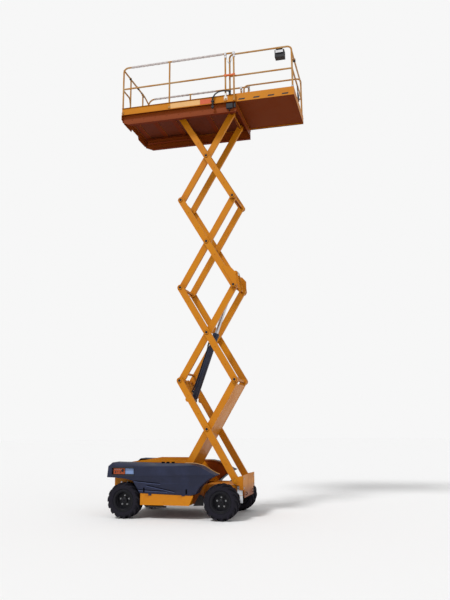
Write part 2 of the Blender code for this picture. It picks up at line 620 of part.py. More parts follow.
def outer_arms(stage):
    """Outer arms of a stage, with their origin on the lower front pin."""
    pins = (-ARM_LENGTH, -ARM_LENGTH / 2, 0)
    fixed_reach = OUTER_ARM_SPAN[1] - 0.005
    pieces = both(lambda s: arm(pins, mirrored(OUTER_ARM_SPAN, s)))
    roller_end = ROLLER_SPAN[1] + 0.004
    upper_reach = roller_end if stage == STAGES else PIN_END_Y
    upper_radius = SHAFT_RADIUS - 0.005 if stage == STAGES else SHAFT_RADIUS
    pieces.append(full_bar(pins[0], upper_reach, upper_radius))
    if stage == 2:
        pieces += both(lambda s: cross_rod(pins[1], 0, mirrored(
            (INNER_ARM_Y - 0.01, PIN_END_Y), s), SHAFT_RADIUS))
    else:
        pieces.append(full_bar(pins[1], PIN_END_Y))
    cuts = []
    if stage == 1:
        pieces.append(full_bar(0, EAR_SPAN[1] + 0.01))
        swell = arc((LOWER_PIN[0], -0.040), 0.05, 180, 360, 8)
        pieces += both(lambda s: plate(swell + [(LOWER_PIN[0] + 0.09, 0), (LOWER_PIN[0] - 0.09, 0)],
                                       mirrored((OUTER_ARM_SPAN[0] + 0.001, fixed_reach), s)))
        start = pins[0]
        lug = [(start + 0.01, 0.035), (start - 0.035, 0.02), (start - 0.035, -0.02),
               (start + 0.01, -0.035)]
        pin_angle = atan2(LOWER_PIN[1], LOWER_PIN[0] - start) * 180 / pi
        lug += arc(LOWER_PIN, 0.035, pin_angle - 90, pin_angle + 90, 8)
        pieces += both(lambda s: plate(lug, mirrored((BRACKET_Y, BRACKET_Y + BRACKET_PLATE), s)))
        pieces.append(full_bar(LOWER_PIN[0], BRACKET_Y + BRACKET_PLATE + 0.01, PIN_RADIUS,
                               LOWER_PIN[1]))
    elif stage == 3:
        pieces += both(lambda s: cross_rod(0, 0, mirrored((BRACKET_Y + 0.001, PIN_END_Y), s),
                                           SHAFT_RADIUS))
        lug = [(-0.045, -0.02), (-0.02, -0.045), (0.03, -0.035), (0.045, 0.0), (0.03, 0.045)]
        lug += arc(UPPER_PIN, 0.045, 60, 240, 8)
        pieces += both(lambda s: plate(lug, mirrored((BRACKET_Y, BRACKET_Y + BRACKET_PLATE), s)))
        pieces += both(lambda s: cross_rod(UPPER_PIN[0], UPPER_PIN[1], mirrored(
            (BRACKET_Y + 0.001, BRACKET_Y + BRACKET_PLATE + 0.01), s), 0.03))
        face = OUTER_ARM_SPAN[1]
        gusset = [(-0.42, 0.003), (-0.42, 0.060), (-0.30, 0.150), (-0.18, 0.170), (-0.06, 0.100),
                  (0.038, 0.055), (0.038, 0.003)]
        pieces += both(lambda s: plate(gusset, mirrored((face + 0.006, face + 0.012), s)))
        pieces += both(lambda s: box((-0.41, 0.02), mirrored((face - 0.004, face + 0.009), s),
                                     (0.007, 0.045)))
    else:
        cuts += bores([0])
    origin = (BASE_X, 0, BASE_Z + (stage - 1) * STAGE_RISE)
    part(f"arms_outer_{stage}", fuse(pieces, cuts), ORANGE, place=origin, tilt=RAISED_ANGLE)


def inner_arms(stage):
    """Inner arms of a stage, with their origin on the middle pin."""
    half = ARM_LENGTH / 2
    pins = (-half, 0, half)
    pieces = both(lambda s: arm(pins, mirrored(INNER_ARM_SPAN, s)))
    cuts = []
    if stage == 1:
        pieces.append(full_bar(pins[0], ROLLER_SPAN[1] + 0.004, SHAFT_RADIUS - 0.005))
        sheet_z = -ARM_DEPTH / 2
        pieces.append(box((-half + 0.06, half - 0.06), (-INNER_ARM_Y - 0.01, INNER_ARM_Y + 0.01),
                          (sheet_z + 0.001, sheet_z + SHEET)))
        cuts += bores([0])
    else:
        cuts += bores([pins[0], 0])
    if stage == 2:
        cuts += bores([pins[2]])
        pieces.append(full_bar(pins[0] + 0.15, INNER_ARM_Y + 0.02, 0.022, 0.035))
    else:
        pieces.append(full_bar(pins[2], PIN_END_Y))
    origin = (BASE_X - STAGE_RUN / 2, 0, BASE_Z + (stage - 0.5) * STAGE_RISE)
    part(f"arms_inner_{stage}", fuse(pieces, cuts), ORANGE, place=origin, tilt=-RAISED_ANGLE)


def track_roller(z, side, name):
    """Roller on the end of a sliding shaft."""
    bore = (SHAFT_RADIUS - 0.005 + PIN_CLEARANCE) / cos(pi / FINE)
    centre = (REAR_PIN_X, side * (ROLLER_SPAN[0] + ROLLER_SPAN[1]) / 2, z)
    half = ROLLER_WIDTH / 2
    wheel_body = turned([(bore, half), (ROLLER_RADIUS, half), (ROLLER_RADIUS, -half), (bore, -half)],
                        FINE)
    part("track_roller_" + name, wheel_body, STEEL, place=centre)


# ---------------------------------------------------------------- lift cylinder
def arm_point(stage, point):
    """Machine x and z of a point given in the outer arms of a stage, raised."""
    x, z = point
    c, s = cos(RAISED_ANGLE), sin(RAISED_ANGLE)
    return BASE_X + x * c + z * s, BASE_Z + (stage - 1) * STAGE_RISE - x * s + z * c


def lift_cylinder():
    """Barrel on the lower pin and rod with its eye at the upper one, along local +X."""
    x0, z0 = arm_point(1, LOWER_PIN)
    x1, z1 = arm_point(3, UPPER_PIN)
    length, slope = hypot(x1 - x0, z1 - z0), atan2(z1 - z0, x1 - x0)
    boss = BRACKET_Y - 0.005
    bore = ROD_RADIUS + PIN_CLEARANCE
    pin_bore = (PIN_RADIUS + PIN_CLEARANCE) / cos(pi / FINE)
    pieces = [rod((0.045, 0, 0), (BARREL_LENGTH, 0, 0), CYLINDER_RADIUS),
              rod((BARREL_LENGTH - 0.06, 0, 0), (BARREL_LENGTH - 0.001, 0, 0),
                  CYLINDER_RADIUS + 0.006),
              cross_rod(0, 0, (-boss, boss), 0.045),
              box((0.0, 0.06), (-0.04, 0.04), (-0.035, 0.035))]
    cuts = [rod((0.08, 0, 0), (BARREL_LENGTH + 0.1, 0, 0), bore),
            cross_rod(0, 0, (-0.2, 0.2), pin_bore)]
    part("lift_cylinder_barrel", fuse(pieces, cuts), BLACK, place=(x0, 0, z0), tilt=-slope)
    pieces = [rod((length - ROD_LENGTH, 0, 0), (length - 0.01, 0, 0), ROD_RADIUS),
              cross_rod(length, 0, (-boss, boss), 0.05)]
    body = fuse(pieces, [cross_rod(length, 0, (-0.2, 0.2), pin_bore)])
    part("lift_cylinder_rod", body, CHROME, place=(x0, 0, z0), tilt=-slope)


# ---------------------------------------------------------------- platform
def platform_frame():
    """Side beams, cross bars, end beams, toe boards and the scissor's upper seats."""
    x = (DECK_REAR, DECK_FRONT)
    top, low = FRAME_TOP, BEAM_Z
    web = [(DECK_REAR, low + 0.07), (DECK_REAR + 0.164, low), (DECK_FRONT, low), (DECK_FRONT, top),
           (DECK_REAR, top)]
    pieces = both(lambda s: plate(web, mirrored((BEAM_Y, BEAM_Y + SHEET), s)))
    pieces += both(lambda s: box((DECK_REAR + 0.164, DECK_FRONT - 0.001),
                                 mirrored((BEAM_Y - 0.04, BEAM_Y + 0.035), s), (low, low + SHEET)))
    pieces += both(lambda s: box((x[0] + 0.001, x[1] - 0.001),
                                 mirrored((BEAM_Y - 0.04, DECK_HALF_WIDTH), s), (top - SHEET, top)))
    toe_top, sheet = FLOOR_Z + TOE_BOARD_TOP, 0.004
    pieces += both(lambda s: box((x[0] + 0.005, x[1] - 0.002),
                                 mirrored((RAIL_Y - sheet / 2, RAIL_Y + sheet / 2), s),
                                 (top - SHEET / 2, toe_top)))
    pieces += both(lambda s: box((x[0] + 0.005, x[1] - 0.003),
                                 mirrored((RAIL_Y - RAIL_RADIUS, RAIL_Y + RAIL_RADIUS), s),
                                 (toe_top - sheet, toe_top)))
    for y in ((-RAIL_Y, GATE_POST_Y[0] + 0.03), (GATE_POST_Y[1] - 0.03, RAIL_Y)):
        pieces.append(box((REAR_POST_X - sheet / 2, REAR_POST_X + sheet / 2), y,
                          (top - SHEET / 2, toe_top - 0.0005)))
        pieces.append(box((REAR_POST_X - RAIL_RADIUS + 0.001, REAR_POST_X + RAIL_RADIUS), y,
                          (toe_top - sheet - 0.0005, toe_top)))
    notch = [(-DECK_HALF_WIDTH + 0.001, top - 0.001), (-DECK_HALF_WIDTH + 0.001, top - 0.10),
             (-0.62, low + 0.07), (-0.22, low + 0.07), (-0.18, low + 0.14), (0.18, low + 0.14),
             (0.22, low + 0.07), (0.62, low + 0.07), (DECK_HALF_WIDTH - 0.001, top - 0.10),
             (DECK_HALF_WIDTH - 0.001, top - 0.001)]
    pieces.append(plate(notch, (DECK_REAR, DECK_REAR + SHEET), "YZ"))
    pieces.append(box((DECK_FRONT - 0.012, DECK_FRONT - 0.004), (-BEAM_Y - 0.002, BEAM_Y + 0.002),
                      (low + 0.07, top - 0.001)))
    pieces.append(box((DECK_REAR + 0.0015, FLOOR_REAR + 0.020),
                      (-DECK_HALF_WIDTH + 0.0015, DECK_HALF_WIDTH - 0.0015),
                      (top - SHEET + 0.0005, top - 0.0005)))
    pieces.append(box((EXTENSION_REAR - FLOOR_LAP, DECK_FRONT - 0.0035),
                      (-FLOOR_HALF, FLOOR_HALF), (top - 0.002, FLOOR_Z)))
    bar = (CROSS_BAR_Z, top)
    for left in (-1.12, -0.70, -0.28, 0.50):
        pieces.append(box((left, left + 0.10), (-BEAM_Y - 0.003, BEAM_Y + 0.003), bar))
    pieces.append(box((BASE_X - 0.07, DECK_FRONT - 0.006), (-BEAM_Y - 0.003, BEAM_Y + 0.003), bar))
    track_y = (ROLLER_SPAN[1] + 0.009, ROLLER_SPAN[1] + 0.015)
    pin_z = TOP_PIN_Z
    for side in (-1, 1):
        pieces.append(box(TRACK_X, mirrored(track_y, side),
                          (pin_z - ROLLER_RADIUS - SHEET, CROSS_BAR_Z + 0.004)))
        for z in (pin_z - ROLLER_RADIUS - 0.0005 - SHEET, pin_z + ROLLER_RADIUS + 0.0005):
            pieces.append(box((TRACK_X[0] + 0.001, TRACK_X[1] - 0.001),
                              mirrored((TRACK_SPAN[0], track_y[1] - 0.001), side), (z, z + SHEET)))
    ear = arc((BASE_X, pin_z), 0.05, 180, 360, 8)
    ear += [(BASE_X + 0.07, CROSS_BAR_Z + 0.003), (BASE_X - 0.06, CROSS_BAR_Z + 0.003)]
    ear_y = (OUTER_ARM_SPAN[0] + 0.005, OUTER_ARM_SPAN[0] + 0.03)
    pieces += both(lambda s: plate(ear, mirrored(ear_y, s)))
    cuts = [cross_rod(BASE_X, pin_z, (-0.6, 0.6), BORE_RADIUS)]
    for post in LOW_POST_X:
        cuts += both(lambda s: box((post - POST_RADIUS - GAP, post + POST_RADIUS + GAP),
                                   mirrored((RAIL_Y - 0.03, RAIL_Y + 0.03), s),
                                   (FLOOR_Z + 0.02, toe_top + 0.01)))
    part("platform_frame", fuse(pieces, cuts), ORANGE)


def platform_floor():
    """Deck sheet between the toe boards, from the rear sill to the roll-out deck."""
    floor = box((FLOOR_REAR, EXTENSION_REAR - FLOOR_LAP - GAP), (-FLOOR_HALF, FLOOR_HALF),
                (FLOOR_Z - FLOOR_SHEET, FLOOR_Z))
    part("platform_floor", floor, FLOOR_GREY)


def guardrail(side, name):
    """Side rails and posts, and the short rear return up to the entry."""
    y, gate_y = side * RAIL_Y, GATE_POST_Y[0 if side < 0 else 1]
    foot = FLOOR_Z + TOE_BOARD_TOP + GAP
    top, mid = FLOOR_Z + TOP_RAIL, FLOOR_Z + MID_RAIL
    front = LOW_POST_X[1]
    bend = 0.10 if side < 0 else 0.16
    hoop = rounded([(front + 0.01, y, top), (REAR_POST_X, y, top), (REAR_POST_X, y, foot)], bend)
    pieces = [tube(hoop, RAIL_RADIUS),
              tube([(front + 0.01, y, mid), (REAR_POST_X, y, mid)], RAIL_RADIUS - 0.0005),
              tube([(MID_POST_X, y, foot), (MID_POST_X, y, top)], POST_RADIUS)]
    for x in LOW_POST_X:
        pieces.append(tube([(x, y, FLOOR_Z + 0.02 + GAP), (x, y, top)], POST_RADIUS))
    gate_z = top - 0.05
    pieces.append(tube([(REAR_POST_X, y, gate_z - (0.06 if side > 0 else 0.0)),
                        (REAR_POST_X, gate_y + side * 0.12, gate_z),
                        (REAR_POST_X, gate_y, gate_z)], POST_RADIUS - 0.001))
    pieces.append(tube([(REAR_POST_X, gate_y, foot), (REAR_POST_X, gate_y, gate_z + 0.022)],
                       POST_RADIUS))
    if side < 0:
        stub = rounded([(REAR_POST_X, y, mid - 0.03), (REAR_POST_X, gate_y + side * 0.05, mid - 0.03),
                        (REAR_POST_X, gate_y - side * 0.005, mid - 0.20)], 0.06)
        pieces.append(tube(stub, POST_RADIUS - 0.002))
        pieces.append(box((REAR_POST_X - 0.004, REAR_POST_X + 0.004),
                          (gate_y, gate_y + 0.055), (gate_z - 0.016, gate_z + 0.016)))
        cuts = [rod((REAR_POST_X - 0.1, gate_y + 0.040, gate_z),
                    (REAR_POST_X + 0.1, gate_y + 0.040, gate_z), GATE_PIN_BORE)]
    else:
        pieces.append(box((REAR_POST_X - 0.015, REAR_POST_X + 0.015), (gate_y - 0.055, gate_y),
                          (gate_z - POST_RADIUS - 0.014, gate_z - POST_RADIUS - GAP)))
        cuts = []
    part("guardrail_" + name, fuse(pieces, cuts), CREAM)


def entry_gate():
    """Bar across the entry that lifts about its right-hand end."""
    z = FLOOR_Z + TOP_RAIL - 0.05
    pivot_y = GATE_POST_Y[0] + 0.040
    x = REAR_POST_X
    pieces = [tube([(x, pivot_y + 0.045, z), (x, GATE_POST_Y[1] - 0.024, z)], POST_RADIUS)]
    for offset in (0.0045, -0.0095):
        pieces.append(box((x + offset, x + offset + 0.005), (pivot_y - 0.013, pivot_y + 0.07),
                          (z - 0.013, z + 0.013)))
    pieces.append(rod((x - 0.012, pivot_y, z), (x + 0.012, pivot_y, z), GATE_PIN_RADIUS))
    part("entry_gate", fuse(pieces), CREAM, pivot=(x, pivot_y, z))


def extension_deck():
    """Roll-out deck: raised floor on two runners, with toe boards on three sides."""
    rear, front = EXTENSION_REAR, EXTENSION_FRONT
    half, sheet = EXTENSION_HALF_WIDTH, 0.004
    base, top = FLOOR_Z + GAP, FLOOR_Z + EXTENSION_TOE_TOP
    floor_z = (EXTENSION_FLOOR_Z - FLOOR_SHEET, EXTENSION_FLOOR_Z)
    pieces = [box((rear, front - 0.001), (-half + 0.001, half - 0.001), floor_z)]
    pieces += both(lambda s: box((rear, front), mirrored((half - sheet, half), s), (base, top)))
    pieces += both(lambda s: box((rear + 0.001, front - 0.001), mirrored((0.665, half - 0.001), s),
                                 (top - sheet, top)))
    pieces += both(lambda s: box((rear, front - 0.002), mirrored((half - 0.045, half - 0.001), s),
                                 (base, floor_z[0] + 0.001)))
    pieces.append(box((front - sheet, front), (-half + 0.0005, half - 0.0005), (base, top - 0.0005)))
    pieces.append(box((front - 0.048, front - 0.001), (-half + 0.002, half - 0.002),
                      (top - sheet - 0.0005, top)))
    part("extension_deck", fuse(pieces), ORANGE, pivot=(rear, 0, EXTENSION_FLOOR_Z))


def extension_guardrail():
    """Two side hoops and the end rails, standing on the extension's toe boards."""
    rear, front = EXTENSION_REAR + 0.05, EXTENSION_FRONT - 0.025
    foot = FLOOR_Z + EXTENSION_TOE_TOP + GAP
    top, mid = FLOOR_Z + TOP_RAIL, FLOOR_Z + MID_RAIL
    y = EXTENSION_RAIL_Y
    pieces = []
    for side in (-1, 1):
        hoop = rounded([(rear, side * y, foot), (rear, side * y, top), (front, side * y, top),
                        (front, side * y, foot)], 0.09)
        pieces.append(tube(hoop, RAIL_RADIUS))
        pieces.append(tube([(rear, side * y, mid), (front, side * y, mid)], RAIL_RADIUS - 0.0005))
    for z in (top - 0.11, mid):
        pieces.append(tube([(front, -y, z), (front, y, z)], POST_RADIUS - 0.001))
    part("extension_guardrail", fuse(pieces), CREAM, pivot=(EXTENSION_REAR, 0, EXTENSION_FLOOR_Z))


def control_box():
    """Operator's box, hung inside the extension's right top rail."""
    x = EXTENSION_FRONT - 0.38
    top = FLOOR_Z + TOP_RAIL
    inner = EXTENSION_RAIL_Y - RAIL_RADIUS - GAP
    body = box((x, x + 0.20), (-inner + 0.006, -inner + 0.15), (top - 0.19, top - 0.03))
    hook = box((x + 0.03, x + 0.17), (-inner, -inner + 0.012), (top - 0.10, top + 0.012))
    lip = box((x + 0.03, x + 0.17), (-EXTENSION_RAIL_Y, -inner + 0.010),
              (top + RAIL_RADIUS + GAP, top + RAIL_RADIUS + GAP + 0.004))
    rise = box((x + 0.03, x + 0.17), (-inner, -inner + 0.004), (top, top + RAIL_RADIUS + 0.003))
    part("control_box", fuse([body, hook, lip, rise]), BLACK,
         pivot=(EXTENSION_REAR, 0, EXTENSION_FLOOR_Z))


CONDUIT_POINTS = [(0.80, 8.02), (0.80, 8.24), (0.845, 8.335), (0.93, 8.39), (1.02, 8.395),
                  (1.10, 8.38), (1.17, 8.365)]


def cable_conduit():
    """Black conduit that climbs over the right toe board towards the extension."""
    y = -(RAIL_Y + RAIL_RADIUS + 0.015)
    lift_by = FLOOR_Z - 8.15
    path = [(x, y, z + lift_by) for x, z in CONDUIT_POINTS]
    points = rounded(path, 0.035, 3)
    pieces = [tube(points, 0.014),
              box((0.775, 0.825), (y + 0.004, -(DECK_HALF_WIDTH + GAP)),
                  (FRAME_TOP - SHEET, FRAME_TOP + 0.01)),
              box((1.140, 1.190), (y - 0.017, y + 0.017), (8.350 + lift_by, 8.382 + lift_by)),
              box((1.142, 1.188), (y, -(RAIL_Y + 0.005)), (FLOOR_Z + TOE_BOARD_TOP + GAP,
                                                         FLOOR_Z + TOE_BOARD_TOP + 0.008)),
              box((1.143, 1.187), (y + 0.001, y + 0.008), (FLOOR_Z + TOE_BOARD_TOP + 0.004,
                                                          8.36 + lift_by))]
    part("cable_conduit", fuse(pieces), BLACK)


# ---------------------------------------------------------------- build
SIDES = ((-1, "right"), (1, "left"))

chassis_frame()
for side, name in SIDES:
    side_tray(side, name)
    engine_cover(side, name)
    knuckle(side, name)
    wheel(AXLE_X, side, "front_" + name)
    wheel(-AXLE_X, side, "rear_" + name)
    track_roller(BASE_Z, side, "lower_" + name)
    track_roller(TOP_PIN_Z, side, "upper_" + name)
    guardrail(side, name)
power_pack()
access_ladder()
label_bracket()
front_axle()
rear_axle()
steering_rod()
for stage in range(1, STAGES + 1):
    outer_arms(stage)
    inner_arms(stage)
lift_cylinder()
platform_frame()
platform_floor()
entry_gate()
extension_deck()
extension_guardrail()
control_box()
cable_conduit()
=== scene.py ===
"""Finishes and fine detail of a compact rough-terrain scissor lift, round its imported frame.

Run as a script in Blender 4.5.  Sizes that follow the machine are worked out from the frame's
nodes and joints.  +X is the front, where the deck rolls out, +Y the left side and +Z up.
"""
import json
from math import atan2, cos, pi, radians, sin

import bmesh
import bpy
from mathutils import Matrix, Vector


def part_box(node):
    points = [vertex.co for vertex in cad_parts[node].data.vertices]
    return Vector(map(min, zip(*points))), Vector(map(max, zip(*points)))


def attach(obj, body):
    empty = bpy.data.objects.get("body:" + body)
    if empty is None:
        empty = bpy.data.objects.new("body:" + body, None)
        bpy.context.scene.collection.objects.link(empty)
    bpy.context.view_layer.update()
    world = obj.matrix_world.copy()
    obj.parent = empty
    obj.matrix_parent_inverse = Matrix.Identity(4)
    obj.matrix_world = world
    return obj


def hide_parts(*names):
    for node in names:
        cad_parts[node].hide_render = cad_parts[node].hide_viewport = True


bl_info = {
    "name": "Scissor lift finishes",
    "version": (1, 0, 0),
    "blender": (4, 5, 0),
    "location": "View3D > Sidebar > Lift",
    "description": "Adds the finishes and fine detail of a scissor lift to its frame",
    "category": "Object",
}

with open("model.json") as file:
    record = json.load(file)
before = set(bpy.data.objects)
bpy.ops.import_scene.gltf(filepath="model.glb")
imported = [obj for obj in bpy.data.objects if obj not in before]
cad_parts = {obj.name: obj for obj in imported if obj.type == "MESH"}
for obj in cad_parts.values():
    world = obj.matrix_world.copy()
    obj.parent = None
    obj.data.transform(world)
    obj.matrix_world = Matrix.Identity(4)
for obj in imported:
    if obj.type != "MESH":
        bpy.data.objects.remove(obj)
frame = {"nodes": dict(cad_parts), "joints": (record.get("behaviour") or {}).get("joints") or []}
NODES = frame["nodes"]
JOINTS = {joint["name"]: joint for joint in frame["joints"]}
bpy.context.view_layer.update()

SIDES = ((-1, "right"), (1, "left"))
STAGES = 4


def pin(joint):
    """Where a joint's pin is at rest."""
    return Vector(JOINTS[joint]["pos_m"])


FRONT_PINS = [pin(f"outer_arms_{i}_pivot") if i > 1 else pin("scissor_lift")
              for i in range(1, STAGES + 1)] + [pin("platform_level")]
MIDDLE_PINS = [pin(f"inner_arms_{i}_pivot") for i in range(1, STAGES + 1)]
REAR_PINS = [2 * MIDDLE_PINS[0] - FRONT_PINS[1]]
REAR_PINS += [2 * MIDDLE_PINS[i] - FRONT_PINS[i] for i in range(STAGES)]

MID_X = (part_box("tyre_front_right")[0].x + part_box("tyre_rear_right")[1].x) / 2
FLOOR_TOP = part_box("platform_floor")[1].z
TOE_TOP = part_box("guardrail_right")[0].z
TOP_RAIL = FLOOR_TOP + 1.10
MID_RAIL = FLOOR_TOP + 0.60
RAIL_Y = 0.75
ARM_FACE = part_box("arms_outer_2")[1].y          # end of the pins of a stage
COVER_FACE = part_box("engine_cover_left")[1].y


def here(x, y, z):
    """A point given from the middle of the wheelbase, on the ground."""
    return Vector((MID_X + x, y, z))


# ---------------------------------------------------------------- sizes and colours to change
def tint(label, text, value):
    """A colour setting with its sRGB default."""
    return bpy.props.FloatVectorProperty(name=label, description=text, subtype="COLOR_GAMMA",
                                         size=3, min=0, max=1, default=value)


def hexed(text):
    """An sRGB hex value as three numbers."""
    return tuple(int(text[i:i + 2], 16) / 255 for i in (1, 3, 5))


class LIFT_PG_finish(bpy.types.PropertyGroup):
    """Colours of the painted and moulded surfaces."""

    enamel: tint("Enamel", "Paint of the chassis, the arms and the deck", hexed("#C0780C"))
    cover: tint("Covers", "Moulded covers of the power pack", hexed("#1F2338"))
    rail: tint("Rails", "Paint of the guardrails", hexed("#AC7630"))
    # painted shade: the red-brown laid on what faces the ground, standing for the shade there
    underside_shade: tint("Underside", "Grime on what faces the ground", hexed("#5C200C"))


class LIFT_PG_sizes(bpy.types.PropertyGroup):
    """Sizes of the fine detail."""

    lug_count: bpy.props.IntProperty(name="Tyre lugs", description="Lugs on each half of a tyre",
                                     default=15, min=8, max=24)
    bolt_circle: bpy.props.FloatProperty(name="Wheel bolt circle", unit="LENGTH",
                                         description="Radius of the circle of wheel nuts",
                                         default=0.085, min=0.06, max=0.14)
    groove_depth: bpy.props.FloatProperty(name="Cover groove", unit="LENGTH",
                                          description="Depth of the grooves in the covers",
                                          default=0.005, min=0.001, max=0.007)
    hose_radius: bpy.props.FloatProperty(name="Hose radius", unit="LENGTH",
                                         description="Radius of the hydraulic hoses",
                                         default=0.009, min=0.005, max=0.02)


# ---------------------------------------------------------------- finishes
def linear(colour):
    """An sRGB colour as the linear RGBA that a shader takes."""
    return (*[c / 12.92 if c <= 0.04045 else ((c + 0.055) / 1.055) ** 2.4 for c in colour], 1)


def add(tree, kind, inputs=None, **settings):
    """A node with its settings; an input is a value or the socket that feeds it."""
    node = tree.nodes.new(kind)
    for key, value in settings.items():
        setattr(node, key, value)
    for key, value in (inputs or {}).items():
        if isinstance(value, bpy.types.NodeSocket):
            tree.links.new(value, node.inputs[key])
        else:
            node.inputs[key].default_value = value
    return node


def finish(name, colour, roughness, metallic=0.0, patch=None, patch_mm=150, patch_share=0.5,
           grain_mm=3.0, grain_depth=0.15, spread=0.12, under=None, low=None, ior=None,
           shine=0.35):
    """A Principled material whose colour, gloss and surface vary over real sizes.

    patch: the colour that comes through in soft patches about patch_mm across.
    under: the colour of painted shade on what faces the ground.
    low: (height, colour, fade) of a surface that is another colour below that height.
    """
    old = bpy.data.materials.get(name)
    if old:
        return old
    material = bpy.data.materials.new(name)
    material.use_nodes = True
    tree = material.node_tree
    shader = tree.nodes["Principled BSDF"]
    place = add(tree, "ShaderNodeTexCoord").outputs["Object"]
    cloud = add(tree, "ShaderNodeTexNoise", {"Vector": place, "Scale": 1000 / patch_mm,
                                             "Detail": 5.0, "Roughness": 0.6})
    edge = add(tree, "ShaderNodeMapRange", {"Value": cloud.outputs["Fac"], "From Min": 0.42,
                                            "From Max": 0.75, "To Min": 0.0,
                                            "To Max": patch_share})
    shown = add(tree, "ShaderNodeMix", {"Factor": edge.outputs["Result"], "A": linear(colour),
                                        "B": linear(patch or colour)}, data_type="RGBA")
    colour_out = shown.outputs["Result"]
    if low:
        height = add(tree, "ShaderNodeSeparateXYZ", {"Vector": place}).outputs["Z"]
        below = add(tree, "ShaderNodeMapRange", {"Value": height, "From Min": low[0] + low[2],
                                                 "From Max": low[0] - low[2], "To Min": 0.0,
                                                 "To Max": 0.92})
        colour_out = add(tree, "ShaderNodeMix", {"Factor": below.outputs["Result"],
                                                 "A": colour_out, "B": linear(low[1])},
                         data_type="RGBA").outputs["Result"]
    # painted shade: faces turned to the ground take the under colour
    if under:
        facing = add(tree, "ShaderNodeSeparateXYZ",
                     {"Vector": add(tree, "ShaderNodeNewGeometry").outputs["Normal"]})
        down = add(tree, "ShaderNodeMapRange", {"Value": facing.outputs["Z"], "From Min": -0.55,
                                                "From Max": -0.85, "To Min": 0.0, "To Max": 0.95})
        colour_out = add(tree, "ShaderNodeMix", {"Factor": down.outputs["Result"],
                                                 "A": colour_out, "B": linear(under)},
                         data_type="RGBA").outputs["Result"]
        # the painted shade also takes the gloss away, so no highlight shows in it
        dull = add(tree, "ShaderNodeMapRange", {"Value": down.outputs["Result"], "From Max": 0.95,
                                                "To Min": shine, "To Max": 0.01})
        tree.links.new(dull.outputs["Result"], shader.inputs["Specular IOR Level"])
    grain = add(tree, "ShaderNodeTexNoise", {"Vector": place, "Scale": 1000 / grain_mm,
                                             "Detail": 2.0})
    gloss = add(tree, "ShaderNodeMapRange", {"Value": cloud.outputs["Fac"], "From Min": 0.3,
                                             "From Max": 0.7, "To Min": roughness - spread / 2,
                                             "To Max": roughness + spread})
    bump = add(tree, "ShaderNodeBump", {"Height": grain.outputs["Fac"], "Strength": grain_depth,
                                        "Distance": grain_mm / 4000})
    tree.links.new(colour_out, shader.inputs["Base Color"])
    tree.links.new(gloss.outputs["Result"], shader.inputs["Roughness"])
    tree.links.new(bump.outputs["Normal"], shader.inputs["Normal"])
    shader.inputs["Metallic"].default_value = metallic
    if ior:
        shader.inputs["IOR"].default_value = ior
    shader.inputs["Specular IOR Level"].default_value = shine
    return material


def enamel():
    """Polyester powder coat on welded steel: even, half glossy, with a faint orange peel.

    It is dusty in broad patches, and shade is painted in red-brown on what faces the ground."""
    set_up = bpy.context.scene.lift_finish
    return finish("powder_coat_orange", set_up.enamel, 0.40, patch=hexed("#B5680E"), patch_mm=380,
                  patch_share=0.6, grain_mm=4, grain_depth=0.2, under=set_up.underside_shade, ior=1.5,
                  shine=0.22)


def deck_enamel():
    """The same coat on the deck frame, with a painted shadow in red-brown on the beams below the
    floor, under its overhanging edge.
    """
    set_up = bpy.context.scene.lift_finish
    # low: a painted shadow in red-brown on the beams below the floor, cast by the floor's
    # overhanging edge
    return finish("powder_coat_shadowed_beams", set_up.enamel, 0.42, patch=hexed("#B5680E"),
                  patch_mm=380, patch_share=0.6, grain_mm=4, grain_depth=0.2,
                  under=set_up.underside_shade, low=(FLOOR_TOP - 0.012, hexed("#7A2F0D"), 0.004), ior=1.5,
                  shine=0.15)


def chassis_enamel():
    """The same coat on the chassis, darker red-brown lower down."""
    set_up = bpy.context.scene.lift_finish
    # low: darker red-brown towards the bottom of the chassis; under: painted shade on what faces
    # the ground
    return finish("powder_coat_darker_low", set_up.enamel, 0.42, patch=hexed("#A85C10"),
                  patch_mm=300, patch_share=0.7, grain_mm=4, grain_depth=0.25,
                  under=set_up.underside_shade, low=(0.51, hexed("#7A3A12"), 0.09), ior=1.5, shine=0.18)


def shaded_wing_coat():
    """The coat behind the wheels, painted dark brown as the shade under the covers."""
    return finish("powder_coat_shaded_wing", hexed("#8A4210"), 0.6, patch=hexed("#5A2A10"),
                  patch_mm=160, patch_share=0.7, grain_mm=6, grain_depth=0.5, ior=1.5,
                  shine=0.1)


def moulded_cover():
    """Pigmented glass-fibre moulding: a fine grain, a soft sheen and paler dusty patches."""
    return finish("moulded_fibre_slate", bpy.context.scene.lift_finish.cover, 0.45,
                  patch=hexed("#2E3450"), patch_mm=300, patch_share=0.6, grain_mm=2.5,
                  grain_depth=0.25, spread=0.16, ior=1.5, shine=0.25)


def groove_shade_and_latch_black():
    """Near-black of the covers' latches, and of a bead laid in their grooves as painted shade: the
    darkest thing on them.
    """
    return finish("black_of_groove_shade_and_latches", hexed("#07070A"), 0.8, patch=hexed("#101014"),
                  patch_mm=60, grain_mm=2, ior=1.5, shine=0.05)


def groove_highlight_slate():
    """A paler slate line along a groove's lower edge: a painted highlight on the moulding."""
    return finish("moulded_fibre_painted_highlight", hexed("#4C5578"), 0.5, patch=hexed("#39405C"),
                  patch_mm=120, grain_mm=2.5, ior=1.5, shine=0.2)


def rail_paint():
    """Cream-yellow paint on steel tube, chalky where hands and weather have dulled it."""
    return finish("tube_paint_cream", bpy.context.scene.lift_finish.rail, 0.40,
                  patch=hexed("#B59A70"), patch_mm=260, patch_share=0.8, grain_mm=3,
                  grain_depth=0.15, ior=1.5)


def tyre_rubber():
    """Vulcanised rubber with carbon black: matt, blue-black, with dry dust on the lugs."""
    return finish("vulcanised_rubber", hexed("#100E18"), 0.8, patch=hexed("#211E2B"),
                  patch_mm=70, patch_share=0.6, grain_mm=5, grain_depth=0.5, ior=1.52,
                  shine=0.25)


